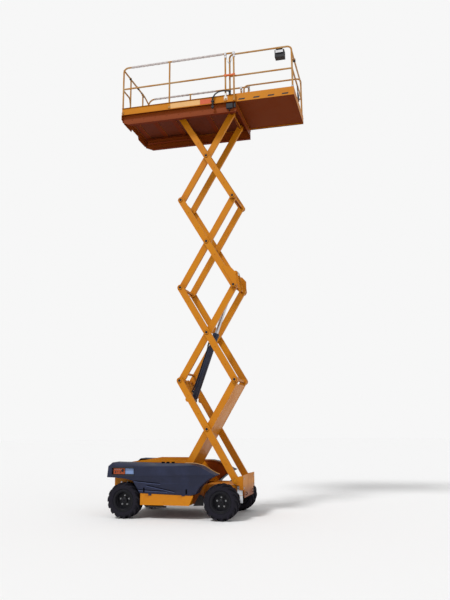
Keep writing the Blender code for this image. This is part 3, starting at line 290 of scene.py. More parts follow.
def rim_paint():
    """Black stove enamel on pressed steel, with a low gloss."""
    return finish("stove_enamel_black", hexed("#0A0A11"), 0.40, patch=hexed("#17161E"),
                  patch_mm=90, grain_mm=3, ior=1.5, shine=0.25)


def chassis_black():
    """Black chassis paint on castings and axles: rough, dusty and slightly brown."""
    return finish("chassis_paint_black", hexed("#1C1B20"), 0.55, patch=hexed("#3A332E"),
                  patch_mm=120, grain_mm=6, grain_depth=0.5, ior=1.5)


def zinc():
    """Zinc-plated steel fasteners: bright, a little cloudy."""
    return finish("zinc_plated_steel", hexed("#B9BABD"), 0.32, 1.0, patch=hexed("#8C8A84"),
                  patch_mm=20, grain_mm=2)


def turned_steel():
    """Turned bare steel of rollers, rods and tanks: a fine satin with dry grease."""
    return finish("turned_steel", hexed("#8D8C8E"), 0.38, 1.0, patch=hexed("#4C463F"),
                  patch_mm=60, grain_mm=2)


def pin_black():
    """Phosphated pin ends and washers: almost black and dull."""
    return finish("phosphated_steel", hexed("#221F22"), 0.5, 0.3, patch=hexed("#3B3532"),
                  patch_mm=30, grain_mm=3)


def hard_chrome():
    """Hard chrome on a ground rod: mirror-bright under a film of oil."""
    return finish("hard_chrome", hexed("#C6C8CC"), 0.12, 1.0, patch=hexed("#A6A8AE"),
                  patch_mm=90, grain_mm=2, grain_depth=0.03, spread=0.06)


def cylinder_black():
    """Blue-black gloss paint on the honed tube of the lift cylinder."""
    return finish("gloss_paint_blue_black", hexed("#1D2233"), 0.30, patch=hexed("#2E3448"),
                  patch_mm=160, grain_mm=3, ior=1.5)


def hose_rubber():
    """Extruded hose cover of black rubber: smooth and satin."""
    return finish("hose_rubber_black", hexed("#17171A"), 0.5, patch=hexed("#2B2A2C"), patch_mm=40,
                  grain_mm=2, ior=1.52)


def film_wrap():
    """Polyethylene film wound round a rail: milky grey, with a low uneven gloss."""
    return finish("polyethylene_film", hexed("#CFC6C2"), 0.35, patch=hexed("#A0979B"),
                  patch_mm=55, patch_share=0.8, grain_mm=6, grain_depth=0.5, ior=1.51)


def black_plastic():
    """Moulded black polypropylene with a fine leather grain."""
    return finish("moulded_plastic_black", hexed("#1B1B20"), 0.5, patch=hexed("#2A2A30"),
                  patch_mm=50, grain_mm=1.5, grain_depth=0.3, ior=1.49)


def pale_plastic():
    """Moulded light grey ABS, satin."""
    return finish("moulded_abs_pale", hexed("#CFCFD2"), 0.42, patch=hexed("#B3B2B4"), patch_mm=60,
                  grain_mm=2, ior=1.54)


def vinyl(name, colour):
    """Blank self-adhesive vinyl: flat, satin and even, a little faded."""
    return finish(name, hexed(colour), 0.4, patch=tuple(c * 0.86 for c in hexed(colour)),
                  patch_mm=90, grain_mm=3, grain_depth=0.05, ior=1.5)


def floor_plate():
    """Rolled steel tread plate, painted and then worn to grey on its raised lozenges.

    The lozenges are 60 mm apart, about twice the real ones, so that they show."""
    # under: painted shade in dark red-brown on the plate's underside
    material = finish("tread_plate_steel", hexed("#8C6B45"), 0.5, 0.1, patch=hexed("#8A857E"),
                      patch_mm=220, patch_share=0.9, grain_mm=4, under=hexed("#541D0E"),
                      shine=0.15)
    tree = material.node_tree
    if "lozenge" in tree.nodes:
        return material
    shader = tree.nodes["Principled BSDF"]
    place = add(tree, "ShaderNodeTexCoord").outputs["Object"]
    turned = add(tree, "ShaderNodeMapping", {"Vector": place, "Rotation": (0, 0, radians(45)),
                                             "Scale": (1000 / 60, 1000 / 25, 1)})
    cells = add(tree, "ShaderNodeTexVoronoi", {"Vector": turned.outputs["Vector"], "Scale": 1.0,
                                               "Randomness": 0.0}, name="lozenge")
    raised = add(tree, "ShaderNodeMapRange", {"Value": cells.outputs["Distance"],
                                              "From Min": 0.25, "From Max": 0.4, "To Min": 1.0,
                                              "To Max": 0.0})
    relief = add(tree, "ShaderNodeBump", {"Height": raised.outputs["Result"], "Strength": 0.7,
                                          "Distance": 0.003})
    tree.links.new(relief.outputs["Normal"], shader.inputs["Normal"])
    return material


# ---------------------------------------------------------------- shapes
def grow_box(bm, low, high, edge=0.002):
    """A box between two corners, with its edges broken by edge."""
    low, high = Vector(low), Vector(high)
    low, high = (Vector(map(min, low, high)), Vector(map(max, low, high)))
    placed = Matrix.Translation((low + high) / 2) @ Matrix.Diagonal((*(high - low), 1))
    made = bmesh.ops.create_cube(bm, size=1, matrix=placed)["verts"]
    soften(bm, made, min(edge, min(high - low) * 0.3))
    return made


def soften(bm, verts, edge):
    """Bevels the edges among some corners."""
    if edge > 0:
        edges = dict.fromkeys(e for v in verts for e in v.link_edges)
        bmesh.ops.bevel(bm, geom=list(edges), offset=edge, segments=1, profile=0.5,
                        affect="EDGES", clamp_overlap=True)


def grow_circle(bm, centre, across, other, radius, sides):
    """A circle of corners in the plane of two directions."""
    return [bm.verts.new(centre + radius * (cos(2 * pi * k / sides) * across
                                            + sin(2 * pi * k / sides) * other))
            for k in range(sides)]


def skin(bm, loops, cyclic=False):
    """Faces from each loop of corners to the next, and caps on the ends unless cyclic."""
    pairs = list(zip(loops, loops[1:]))
    if cyclic:
        pairs.append((loops[-1], loops[0]))
    for one, two in pairs:
        count = len(one)
        for k in range(count):
            bm.faces.new((one[k], one[(k + 1) % count], two[(k + 1) % count], two[k]))
    if not cyclic:
        bm.faces.new(loops[0][::-1])
        bm.faces.new(loops[-1])


def grow_rod(bm, start, end, radius, sides=16, tip=None, edge=0.0):
    """A closed cylinder or cone from one point to another, with broken rims if edge is given."""
    start, end = Vector(start), Vector(end)
    along = (end - start).normalized()
    rings = [(0.0, radius), (1.0, radius if tip is None else tip)]
    if edge:
        share = edge / (end - start).length
        rings = [(0.0, radius - edge), (share, radius), (1 - share, rings[1][1]),
                 (1.0, rings[1][1] - edge)]
    across = along.orthogonal().normalized()
    other = along.cross(across)
    skin(bm, [grow_circle(bm, start.lerp(end, t), across, other, r, sides) for t, r in rings])


def grow_ring(bm, profile, centre, axis, sides=48):
    """A closed ring: a (radius, offset) outline turned about an axis through centre."""
    centre, axis = Vector(centre), Vector(axis).normalized()
    across = axis.orthogonal().normalized()
    other = axis.cross(across)
    loops = []
    for k in range(sides):
        turn = 2 * pi * k / sides
        out = cos(turn) * across + sin(turn) * other
        loops.append([bm.verts.new(centre + r * out + a * axis) for r, a in profile])
    skin(bm, loops, cyclic=True)


def grow_collar(bm, foot, hole, radius, height, lip=0.0):
    """A collar round an upright tube, whose top slopes in over a further lip."""
    grow_ring(bm, [(hole, 0.0), (radius, 0.0), (radius, height), (hole, height + lip)], foot,
              (0, 0, 1), 18)


def grow_tube(bm, points, radius, sides=10, cyclic=False):
    """A closed round tube along a path."""
    points = [Vector(p) for p in points]
    count = len(points)
    across = None
    loops = []
    for i, point in enumerate(points):
        before = points[i - 1] if i or cyclic else point
        after = points[(i + 1) % count] if i < count - 1 or cyclic else point
        along = (after - before).normalized()
        across = (along.orthogonal() if across is None
                  else across - across.dot(along) * along).normalized()
        loops.append(grow_circle(bm, point, across, along.cross(across), radius, sides))
    skin(bm, loops, cyclic)


def grow_plate(bm, outline, low, high, axis="Y", edge=0.0):
    """A flat outline thickened along an axis; the outline is in the other two, in order."""
    order = {"Y": lambda a, b, t: (a, t, b), "X": lambda a, b, t: (t, a, b),
             "Z": lambda a, b, t: (a, b, t)}[axis]
    one = [bm.verts.new(order(a, b, low)) for a, b in outline]
    two = [bm.verts.new(order(a, b, high)) for a, b in outline]
    count = len(outline)
    bm.faces.new(one)
    bm.faces.new(two[::-1])
    for k in range(count):
        bm.faces.new((one[k], two[k], two[(k + 1) % count], one[(k + 1) % count]))
    soften(bm, one + two, edge)


def tilted(spot, along, long, wide):
    """The XZ outline of a rectangle round a spot, from its half sizes along and across."""
    return [(spot.x + along.x * a - along.z * b, spot.z + along.z * a + along.x * b)
            for a, b in ((-long, -wide), (long, -wide), (long, wide), (-long, wide))]


def grow_bolt(bm, base, along, radius=0.012, head=0.010):
    """A hexagon head on its washer, standing on base."""
    base, along = Vector(base), Vector(along).normalized()
    grow_rod(bm, base - along * 0.001, base + along * 0.003, radius * 1.45, 16)
    grow_rod(bm, base, base + along * head, radius, 6, edge=0.0012)


def smooth_path(points, steps=8):
    """A Catmull-Rom curve through the points."""
    points = [Vector(p) for p in points]
    ends = [2 * points[0] - points[1], *points, 2 * points[-1] - points[-2]]
    path = []
    for a, b, c, d in zip(ends, ends[1:], ends[2:], ends[3:]):
        for i in range(steps):
            t = i / steps
            path.append(0.5 * (2 * b + (c - a) * t + (2 * a - 5 * b + 4 * c - d) * t * t
                               + (3 * b - a - 3 * c + d) * t ** 3))
    return path + [points[-1]]


def loose(name, build):
    """An object that is not a piece yet, whose mesh build(bm) grows."""
    bm = bmesh.new()
    build(bm)
    bmesh.ops.recalc_face_normals(bm, faces=bm.faces)
    mesh = bpy.data.meshes.new(name)
    bm.to_mesh(mesh)
    bm.free()
    item = bpy.data.objects.new(name, mesh)
    bpy.context.scene.collection.objects.link(item)
    return item


def settle(item, material, body, smooth=35):
    """Makes an object a piece: gives it its finish and lets it ride on a body."""
    item.data.materials.clear()
    item.data.materials.append(material)
    item.data.shade_smooth()
    item.data.set_sharp_from_angle(angle=radians(smooth))
    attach(item, body)
    return item


def made(name, build, material, body, slot, smooth=35):
    """A piece whose mesh build(bm) grows; edges sharper than smooth degrees stay sharp."""
    return settle(loose(name, build), material, body, smooth)


def dress(nodes, material):
    """Gives CAD nodes a finish."""
    for name in nodes:
        item = NODES[name]
        item.data.materials.clear()
        item.data.materials.append(material)


# ---------------------------------------------------------------- wheels
TYRE_PROFILE = [(0.1965, -0.122), (0.212, -0.140), (0.240, -0.147), (0.264, -0.143),
                (0.280, -0.126), (0.289, -0.080), (0.292, 0.0)]
TYRE_PROFILE += [(r, -y) for r, y in TYRE_PROFILE[-2::-1]]
WHEEL_NUTS = 5
RIM_FACE = 0.035                # the rim's face from the middle of the tyre
HOLE_CIRCLE = 0.112
# each station of a lug: turn in degrees, foot (radius, offset), crown (radius, offset), half width
LUG_STATIONS = ((-2, (0.284, 0.004), (0.3185, 0.006), 0.013),
                (8, (0.282, 0.055), (0.3198, 0.056), 0.014),
                (18, (0.272, 0.108), (0.3170, 0.112), 0.016),
                (24, (0.250, 0.122), (0.3020, 0.1495), 0.018),
                (27, (0.236, 0.132), (0.2560, 0.1495), 0.017))


def grow_lug(bm, centre, side, turn, lean):
    """One bar of the tread, from the middle over the shoulder."""
    rings = []
    for degrees, foot, crown, half in LUG_STATIONS:
        angle = turn + lean * radians(degrees)
        ring = []
        for (r, y), wide in ((foot, 1.35), (crown, 1.0)):
            for way in (-1, 1):
                a = angle + way * half * wide / r
                ring.append(bm.verts.new(Vector((centre.x + r * cos(a), centre.y + side * y,
                                                 centre.z + r * sin(a)))))
        rings.append([ring[0], ring[1], ring[3], ring[2]])
    skin(bm, rings)


class LIFT_OT_wheels(bpy.types.Operator):
    """Lug tyres, wheel nuts, hub caps and valve stems"""

    bl_idname = "lift.wheels"
    bl_label = "Wheels"

    def execute(self, context):
        sizes = context.scene.lift_sizes
        rubber, steel, paint = tyre_rubber(), zinc(), rim_paint()
        for end in ("front", "rear"):
            for side, name in SIDES:
                low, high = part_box(f"tyre_{end}_{name}")
                centre = (low + high) / 2
                body = f"{end}_{name}_wheel"

                def tread(bm):
                    grow_ring(bm, TYRE_PROFILE, centre, (0, 1, 0), 60)
                    step = 2 * pi / sizes.lug_count
                    for k in range(sizes.lug_count):
                        grow_lug(bm, centre, 1, k * step, 1)
                        grow_lug(bm, centre, -1, (k + 0.5) * step, 1)

                tyre = made(f"lug_tyre_{end}_{name}", tread, rubber, body, "tyre_black", 30)
                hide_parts(f"tyre_{end}_{name}")
                face = centre + Vector((0, side * RIM_FACE, 0))
                out = Vector((0, side, 0))

                def nuts(bm):
                    for k in range(WHEEL_NUTS):
                        a = 2 * pi * k / WHEEL_NUTS + pi / 2
                        spot = face + sizes.bolt_circle * Vector((cos(a), 0, sin(a)))
                        grow_rod(bm, spot - out * 0.002, spot + out * 0.004, 0.016, 16, edge=0.001)
                        grow_rod(bm, spot, spot + out * 0.020, 0.0125, 6, edge=0.002)
                        grow_rod(bm, spot, spot + out * 0.028, 0.006, 10, edge=0.0015)

                made(f"wheel_nuts_{end}_{name}", nuts, steel, body, "bare_steel")

                def dish(bm):
                    grow_ring(bm, [(0.163, 0.0), (0.166, 0.006), (0.166, 0.080), (0.158, 0.093),
                                   (0.150, 0.090), (0.158, 0.070), (0.156, 0.030),
                                   (0.135, 0.006), (0.132, 0.0)], face - out * 0.001, out, 48)
                    grow_ring(bm, [(0.050, 0.0), (0.056, 0.004), (0.054, 0.034), (0.030, 0.044),
                                   (0.012, 0.046), (0.012, 0.0)], face, out, 24)
                    stem = face + Vector((0.128, side * -0.004, 0.03))
                    grow_rod(bm, stem, stem + out * 0.035 + Vector((0.008, 0, 0)), 0.004, 8,
                             edge=0.001)
                    for k in range(WHEEL_NUTS):
                        a = 2 * pi * (k + 0.5) / WHEEL_NUTS + pi / 2
                        spot = face + HOLE_CIRCLE * Vector((cos(a), 0, sin(a)))
                        grow_ring(bm, [(0.010, 0.0), (0.014, 0.004), (0.018, 0.0)], spot, out, 16)

                made(f"rim_dish_{end}_{name}", dish, paint, body, "black_paint", 30)
                dress([f"rim_{end}_{name}"], paint)
        return {"FINISHED"}


# ---------------------------------------------------------------- covers
WING_FACE = 0.5607              # the chassis face that the inner wings lie on
EDGE_HIGHLIGHT_Y = 0.574                  # the covers' cut edge over the wheels
LATCHES = ((-0.54, 0.470), (0.28, 0.452))
ROOF_CATCHES = (-0.235, -0.14, -0.04)
# x and height of each groove's ends, of the window's corners and along the cover's edge where a
# pale highlight is painted
GROOVES = (((-0.746, 0.676), (-0.186, 0.631)), ((-0.513, 0.607), (0.091, 0.492)),
           ((-0.66, 0.52), (-0.05, 0.497)))
CONTROL_WINDOW = ((-1.165, 0.775), (-0.735, 0.905))
# a pale strip along this line is a painted highlight on the cover's upward-facing edge
EDGE_HIGHLIGHT_LINE = ((0.18, 0.978), (0.359, 0.975), (0.546, 0.936), (0.66, 0.875), (0.77, 0.816),
             (0.846, 0.787))
# the inner wing's outline: x and height
LINER = ((0.02, 0.62), (0.463, 0.50), (0.535, 0.600), (0.618, 0.668), (0.719, 0.740),
         (0.838, 0.788), (0.765, 0.812), (0.650, 0.872), (0.546, 0.926), (0.359, 0.966),
         (0.02, 0.975))


def cut(item, cutters):
    """The mesh of an object less some cutters, which are removed."""
    for cutter in cutters:
        step = item.modifiers.new("cut", "BOOLEAN")
        step.operation = "DIFFERENCE"
        step.solver = "EXACT"
        step.object = cutter
    depsgraph = bpy.context.evaluated_depsgraph_get()
    mesh = bpy.data.meshes.new_from_object(item.evaluated_get(depsgraph))
    for cutter in cutters:
        bpy.data.objects.remove(cutter, do_unlink=True)
    bpy.data.objects.remove(item, do_unlink=True)
    return mesh


def grow_groove(bm, start, end, y, depth, half=0.011):
    """A tapering V-shaped sliver along a cover's face."""
    start, end = Vector(start), Vector(end)
    along = (end - start).normalized()
    up = Vector((-along.z, 0, along.x))
    outward = Vector((0, y / abs(y), 0))
    proud = outward * 0.004
    rings = []
    for point, wide, deep in ((start, 0.25, 0.5), (start.lerp(end, 0.12), 1, 1),
                              (start.lerp(end, 0.8), 1, 1), (end, 0.25, 0.5)):
        inward = -outward * depth * deep
        rings.append([bm.verts.new(point + up * half * wide + proud),
                      bm.verts.new(point + inward + up * half * wide * 0.35),
                      bm.verts.new(point + inward - up * half * wide * 0.8),
                      bm.verts.new(point - up * half * wide + proud)])
    skin(bm, rings)


class LIFT_OT_covers(bpy.types.Operator):
    """Moulded covers with their grooves, latches, vents and the lower controls"""

    bl_idname = "lift.covers"
    bl_label = "Covers"

    def execute(self, context):
        depth = context.scene.lift_sizes.groove_depth
        for side, name in SIDES:
            node = NODES[f"engine_cover_{name}"]
            shell = bpy.data.objects.new(f"cover_blank_{name}", node.data.copy())
            context.scene.collection.objects.link(shell)
            bm = bmesh.new()
            bm.from_mesh(shell.data)
            bmesh.ops.remove_doubles(bm, verts=bm.verts, dist=0.00002)
            bm.to_mesh(shell.data)
            bm.free()
            face = side * COVER_FACE
            cutters = []
            for a, b in GROOVES:
                cutters.append(loose("groove", lambda g, a=a, b=b: grow_groove(
                    g, here(a[0], face, a[1]), here(b[0], face, b[1]), face, depth)))
            (x0, z0), (x1, z1) = CONTROL_WINDOW
            if side < 0:
                # the recess of the lower controls
                cutters.append(loose("window", lambda g: grow_box(
                    g, here(x0, face - side * 0.03, z0), here(x1, face + side * 0.01, z1), 0.01)))
            else:
                for k in range(6):
                    # six slanted air slots
                    x = -0.42 + 0.05 * k
                    cutters.append(loose("vent", lambda g, x=x: grow_plate(
                        g, [(MID_X + x, 0.78), (MID_X + x + 0.016, 0.78),
                            (MID_X + x + 0.036, 0.90), (MID_X + x + 0.020, 0.90)],
                        face - 0.02, face + 0.01)))
            cover = bpy.data.objects.new(f"moulded_cover_{name}", cut(shell, cutters))
            context.scene.collection.objects.link(cover)
            body = f"{name}_cover"
            settle(cover, moulded_cover(), body, 25)
            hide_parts(f"engine_cover_{name}")

            # a cream strip along the cover's top edge: a painted highlight where the edge faces up
            # into the light
            def edge_highlight(bm):
                line = [here(x, side * EDGE_HIGHLIGHT_Y, z + 0.002) for x, z in EDGE_HIGHLIGHT_LINE]
                grow_tube(bm, smooth_path(line, 4), 0.008, 8)

            made(f"cover_edge_trim_{name}", edge_highlight, rail_paint(), body, "cream_rail_paint")

            def line(bm, drop, inset, radius):
                for a, b in GROOVES:
                    start, end = Vector((*a, 0)), Vector((*b, 0))
                    path = [start.lerp(end, t) for t in (0.04, 0.12, 0.8, 0.96)]
                    grow_tube(bm, [here(p.x, face - side * inset, p.y - drop) for p in path],
                              radius, 8)

            # a near-black bead laid in each groove: painted shade in the crease
            made(f"cover_groove_inlay_{name}", lambda bm: line(bm, 0, depth, 0.006),
                 groove_shade_and_latch_black(), body, "black_paint")
            # a paler slate line just under each groove: a painted highlight on its lower lip
            made(f"cover_groove_lip_{name}", lambda bm: line(bm, 0.018, -0.0005, 0.0035),
                 groove_highlight_slate(), body, "slate_cover")

            def latches(bm):
                for x, z in LATCHES:
                    grow_box(bm, here(x, face - side * 0.002, z),
                             here(x + 0.028, face + side * 0.006, z + 0.085), 0.002)
                    grow_box(bm, here(x + 0.006, face + side * 0.004, z + 0.01),
                             here(x + 0.022, face + side * 0.013, z + 0.05), 0.003)
                    grow_rod(bm, here(x + 0.002, face + side * 0.008, z + 0.062),
                             here(x + 0.026, face + side * 0.008, z + 0.062), 0.004, 10)
                for x in ROOF_CATCHES:
                    grow_box(bm, here(x, side * 0.70, 0.985), here(x + 0.055, side * 0.74, 1.010),
                             0.005)

            made(f"cover_latches_{name}", latches, groove_shade_and_latch_black(), body, "black_paint")
            if side < 0:
                self.lower_controls(face, side, body, black_plastic())
            self.liner(side, name)
        return {"FINISHED"}

    @staticmethod
    def lower_controls(face, side, body, black):
        """Recessed tray with the lower control panel."""
        (x0, z0), (x1, z1) = CONTROL_WINDOW
        back = face - side * 0.045

        def tray(bm):
            for low, high in (((x0 - 0.006, z0 - 0.006), (x1 + 0.006, z0)),
                              ((x0 - 0.006, z1), (x1 + 0.006, z1 + 0.006)),
                              ((x0 - 0.006, z0), (x0, z1)), ((x1, z0), (x1 + 0.006, z1))):
                grow_box(bm, here(low[0], back, low[1]),
                         here(high[0], face - side * 0.009, high[1]), 0.001)
            grow_box(bm, here(x0 - 0.006, back, z0 - 0.006),
                     here(x1 + 0.006, back - side * 0.006, z1 + 0.006), 0.001)

            rim = [(x0 - 0.004, z0 - 0.004), (x1 + 0.004, z0 - 0.004), (x1 + 0.004, z1 + 0.004),
                   (x0 - 0.004, z1 + 0.004)]
            grow_tube(bm, [here(x, face + side * 0.001, z) for x, z in rim], 0.009, 8,
                      cyclic=True)

        made("lower_control_tray", tray, black, body, "black_paint")
        middle = x0 + 0.24

        def panel(a, b):
            return lambda bm: grow_box(bm, here(a, back + side * 0.001, z0 + 0.012),
                                       here(b, back + side * 0.009, z1 - 0.012), 0.003)

        made("lower_control_panel", panel(x0 + 0.01, middle),
             vinyl("panel_red_orange", "#B5532A"), body, "orange_paint")
        made("lower_control_plate", panel(middle + 0.01, x1 - 0.01),
             vinyl("plate_pale_blue", "#7F97C4"), body, "slate_cover")

        def knobs(bm):
            top = back + side * 0.008
            for k, (x, z, r) in enumerate(((0.055, 0.05, 0.014), (0.10, 0.055, 0.010),
                                           (0.15, 0.05, 0.010), (0.195, 0.075, 0.022))):
                spot = here(x0 + x, top, z0 + z)
                grow_rod(bm, spot, spot + Vector((0, side * (0.012 + 0.004 * k), 0)), r, 16,
                         edge=0.003)

        made("lower_control_knobs", knobs, black, body, "black_paint")

        def lamps(bm):
            for k in range(4):
                spot = here(x0 + 0.04 + 0.042 * k, back + side * 0.008, z0 + 0.098)
                grow_rod(bm, spot, spot + Vector((0, side * 0.006, 0)), 0.007, 12, edge=0.002)

        made("lower_control_lamps", lamps, pale_plastic(), body, "white_plate")

    @staticmethod
    def liner(side, name):
        """Inner wing between the chassis and the cover, painted dark brown as the shade under the
        cover.
        """
        def wing(bm):
            outline = [(MID_X + x, z) for x, z in LINER]
            grow_plate(bm, outline, side * WING_FACE, side * (WING_FACE + 0.0035))
            edge = [here(x, side * (WING_FACE - 0.006), z - 0.004) for x, z in LINER[5:]]
            grow_tube(bm, edge, 0.0075, 8)

        made(f"inner_wing_{name}", wing, shaded_wing_coat(), "chassis", "orange_paint")


# ---------------------------------------------------------------- power pack
class LIFT_OT_power_pack(bpy.types.Operator):
    """Engine, tank and valve block under the covers"""

    bl_idname = "lift.power_pack"
    bl_label = "Power pack"

    def execute(self, context):
        low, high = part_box("engine_block")
        w, d, h = high - low

        def spot(a, b, c):
            return Vector((low.x + a * w, low.y + b * d, low.z + c * h))

        def engine(bm):
            grow_box(bm, spot(0.05, 0.1, 0.10), spot(0.62, 0.9, 0.52), 0.012)
            grow_box(bm, spot(0.08, 0.15, 0.50), spot(0.58, 0.85, 0.66), 0.016)
            for k in range(9):
                x = 0.10 + 0.053 * k
                grow_box(bm, spot(x, 0.04, 0.18), spot(x + 0.022, 0.12, 0.50), 0.002)
            grow_box(bm, spot(0.0, 0.0, 0.0), spot(1.0, 1.0, 0.06), 0.004)
            grow_rod(bm, spot(0.62, 0.35, 0.30), spot(0.70, 0.35, 0.30), 0.085, 32, edge=0.006)
            grow_rod(bm, spot(0.70, 0.35, 0.30), spot(0.95, 0.35, 0.30), 0.050, 24, edge=0.006)
            grow_box(bm, spot(0.72, 0.55, 0.08), spot(0.97, 0.98, 0.48), 0.008)

        block = made("engine_block_detail", engine, chassis_black(), "chassis", "black_paint")
        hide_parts("engine_block")

        def silencer(bm):
            grow_rod(bm, spot(0.10, 0.30, 0.80), spot(0.60, 0.30, 0.80), 0.055, 28, edge=0.012)
            grow_tube(bm, smooth_path([spot(0.30, 0.45, 0.64), spot(0.30, 0.38, 0.72),
                                       spot(0.30, 0.32, 0.80)]), 0.018, 12)
            grow_rod(bm, spot(0.66, 0.62, 0.76), spot(0.94, 0.62, 0.76), 0.068, 28, edge=0.010)
            for k in range(4):
                x = 0.70 + 0.06 * k
                grow_ring(bm, [(0.066, 0.0), (0.071, 0.003), (0.066, 0.006)],
                          spot(x, 0.62, 0.76), (1, 0, 0), 28)

        made("silencer_and_filter", silencer, turned_steel(), "chassis", "bare_steel")

        def lines(bm):
            r = context.scene.lift_sizes.hose_radius
            for k in range(4):
                b = 0.2 + 0.17 * k
                grow_tube(bm, smooth_path([spot(0.90, b, 0.30), spot(0.99, b, 0.45),
                                           spot(0.93, b, 0.66), spot(0.80, 0.99, 0.70)]), r, 10)
            grow_tube(bm, smooth_path([spot(0.45, 0.1, 0.58), spot(0.55, 0.06, 0.74),
                                       spot(0.66, 0.3, 0.78)]), 0.020, 12)

        made("engine_hoses", lines, hose_rubber(), "chassis", "black_paint")
        tank_low, tank_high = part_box("hydraulic_tank")

        def tank(bm):
            grow_box(bm, tank_low, (tank_high.x - 0.30, tank_high.y, tank_high.z - 0.02), 0.018)
            grow_box(bm, (tank_high.x - 0.28, tank_low.y, tank_low.z),
                     (tank_high.x, tank_high.y, tank_high.z - 0.10), 0.012)
            for k in range(2):
                x = tank_low.x + 0.09 + 0.16 * k
                grow_rod(bm, (x, tank_high.y - 0.07, tank_high.z - 0.022),
                         (x, tank_high.y - 0.07, tank_high.z), 0.032, 24, edge=0.004)
            for k in range(6):
                x = tank_high.x - 0.25 + 0.042 * k
                grow_rod(bm, (x, tank_high.y - 0.06, tank_high.z - 0.102),
                         (x, tank_high.y - 0.06, tank_high.z - 0.045), 0.014, 12, edge=0.002)

        vessel = made("hydraulic_tank_detail", tank, turned_steel(), "chassis", "bare_steel")
        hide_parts("hydraulic_tank")
        return {"FINISHED"}


# ---------------------------------------------------------------- chassis
NOSE_FACE = 0.42                # outer faces of the chassis's nose, trays and engine bay
TRAY_FACE = 0.859
BAY_FACE = 0.56
TAIL_SEAM = 0.5530775           # where the tail's plates meet


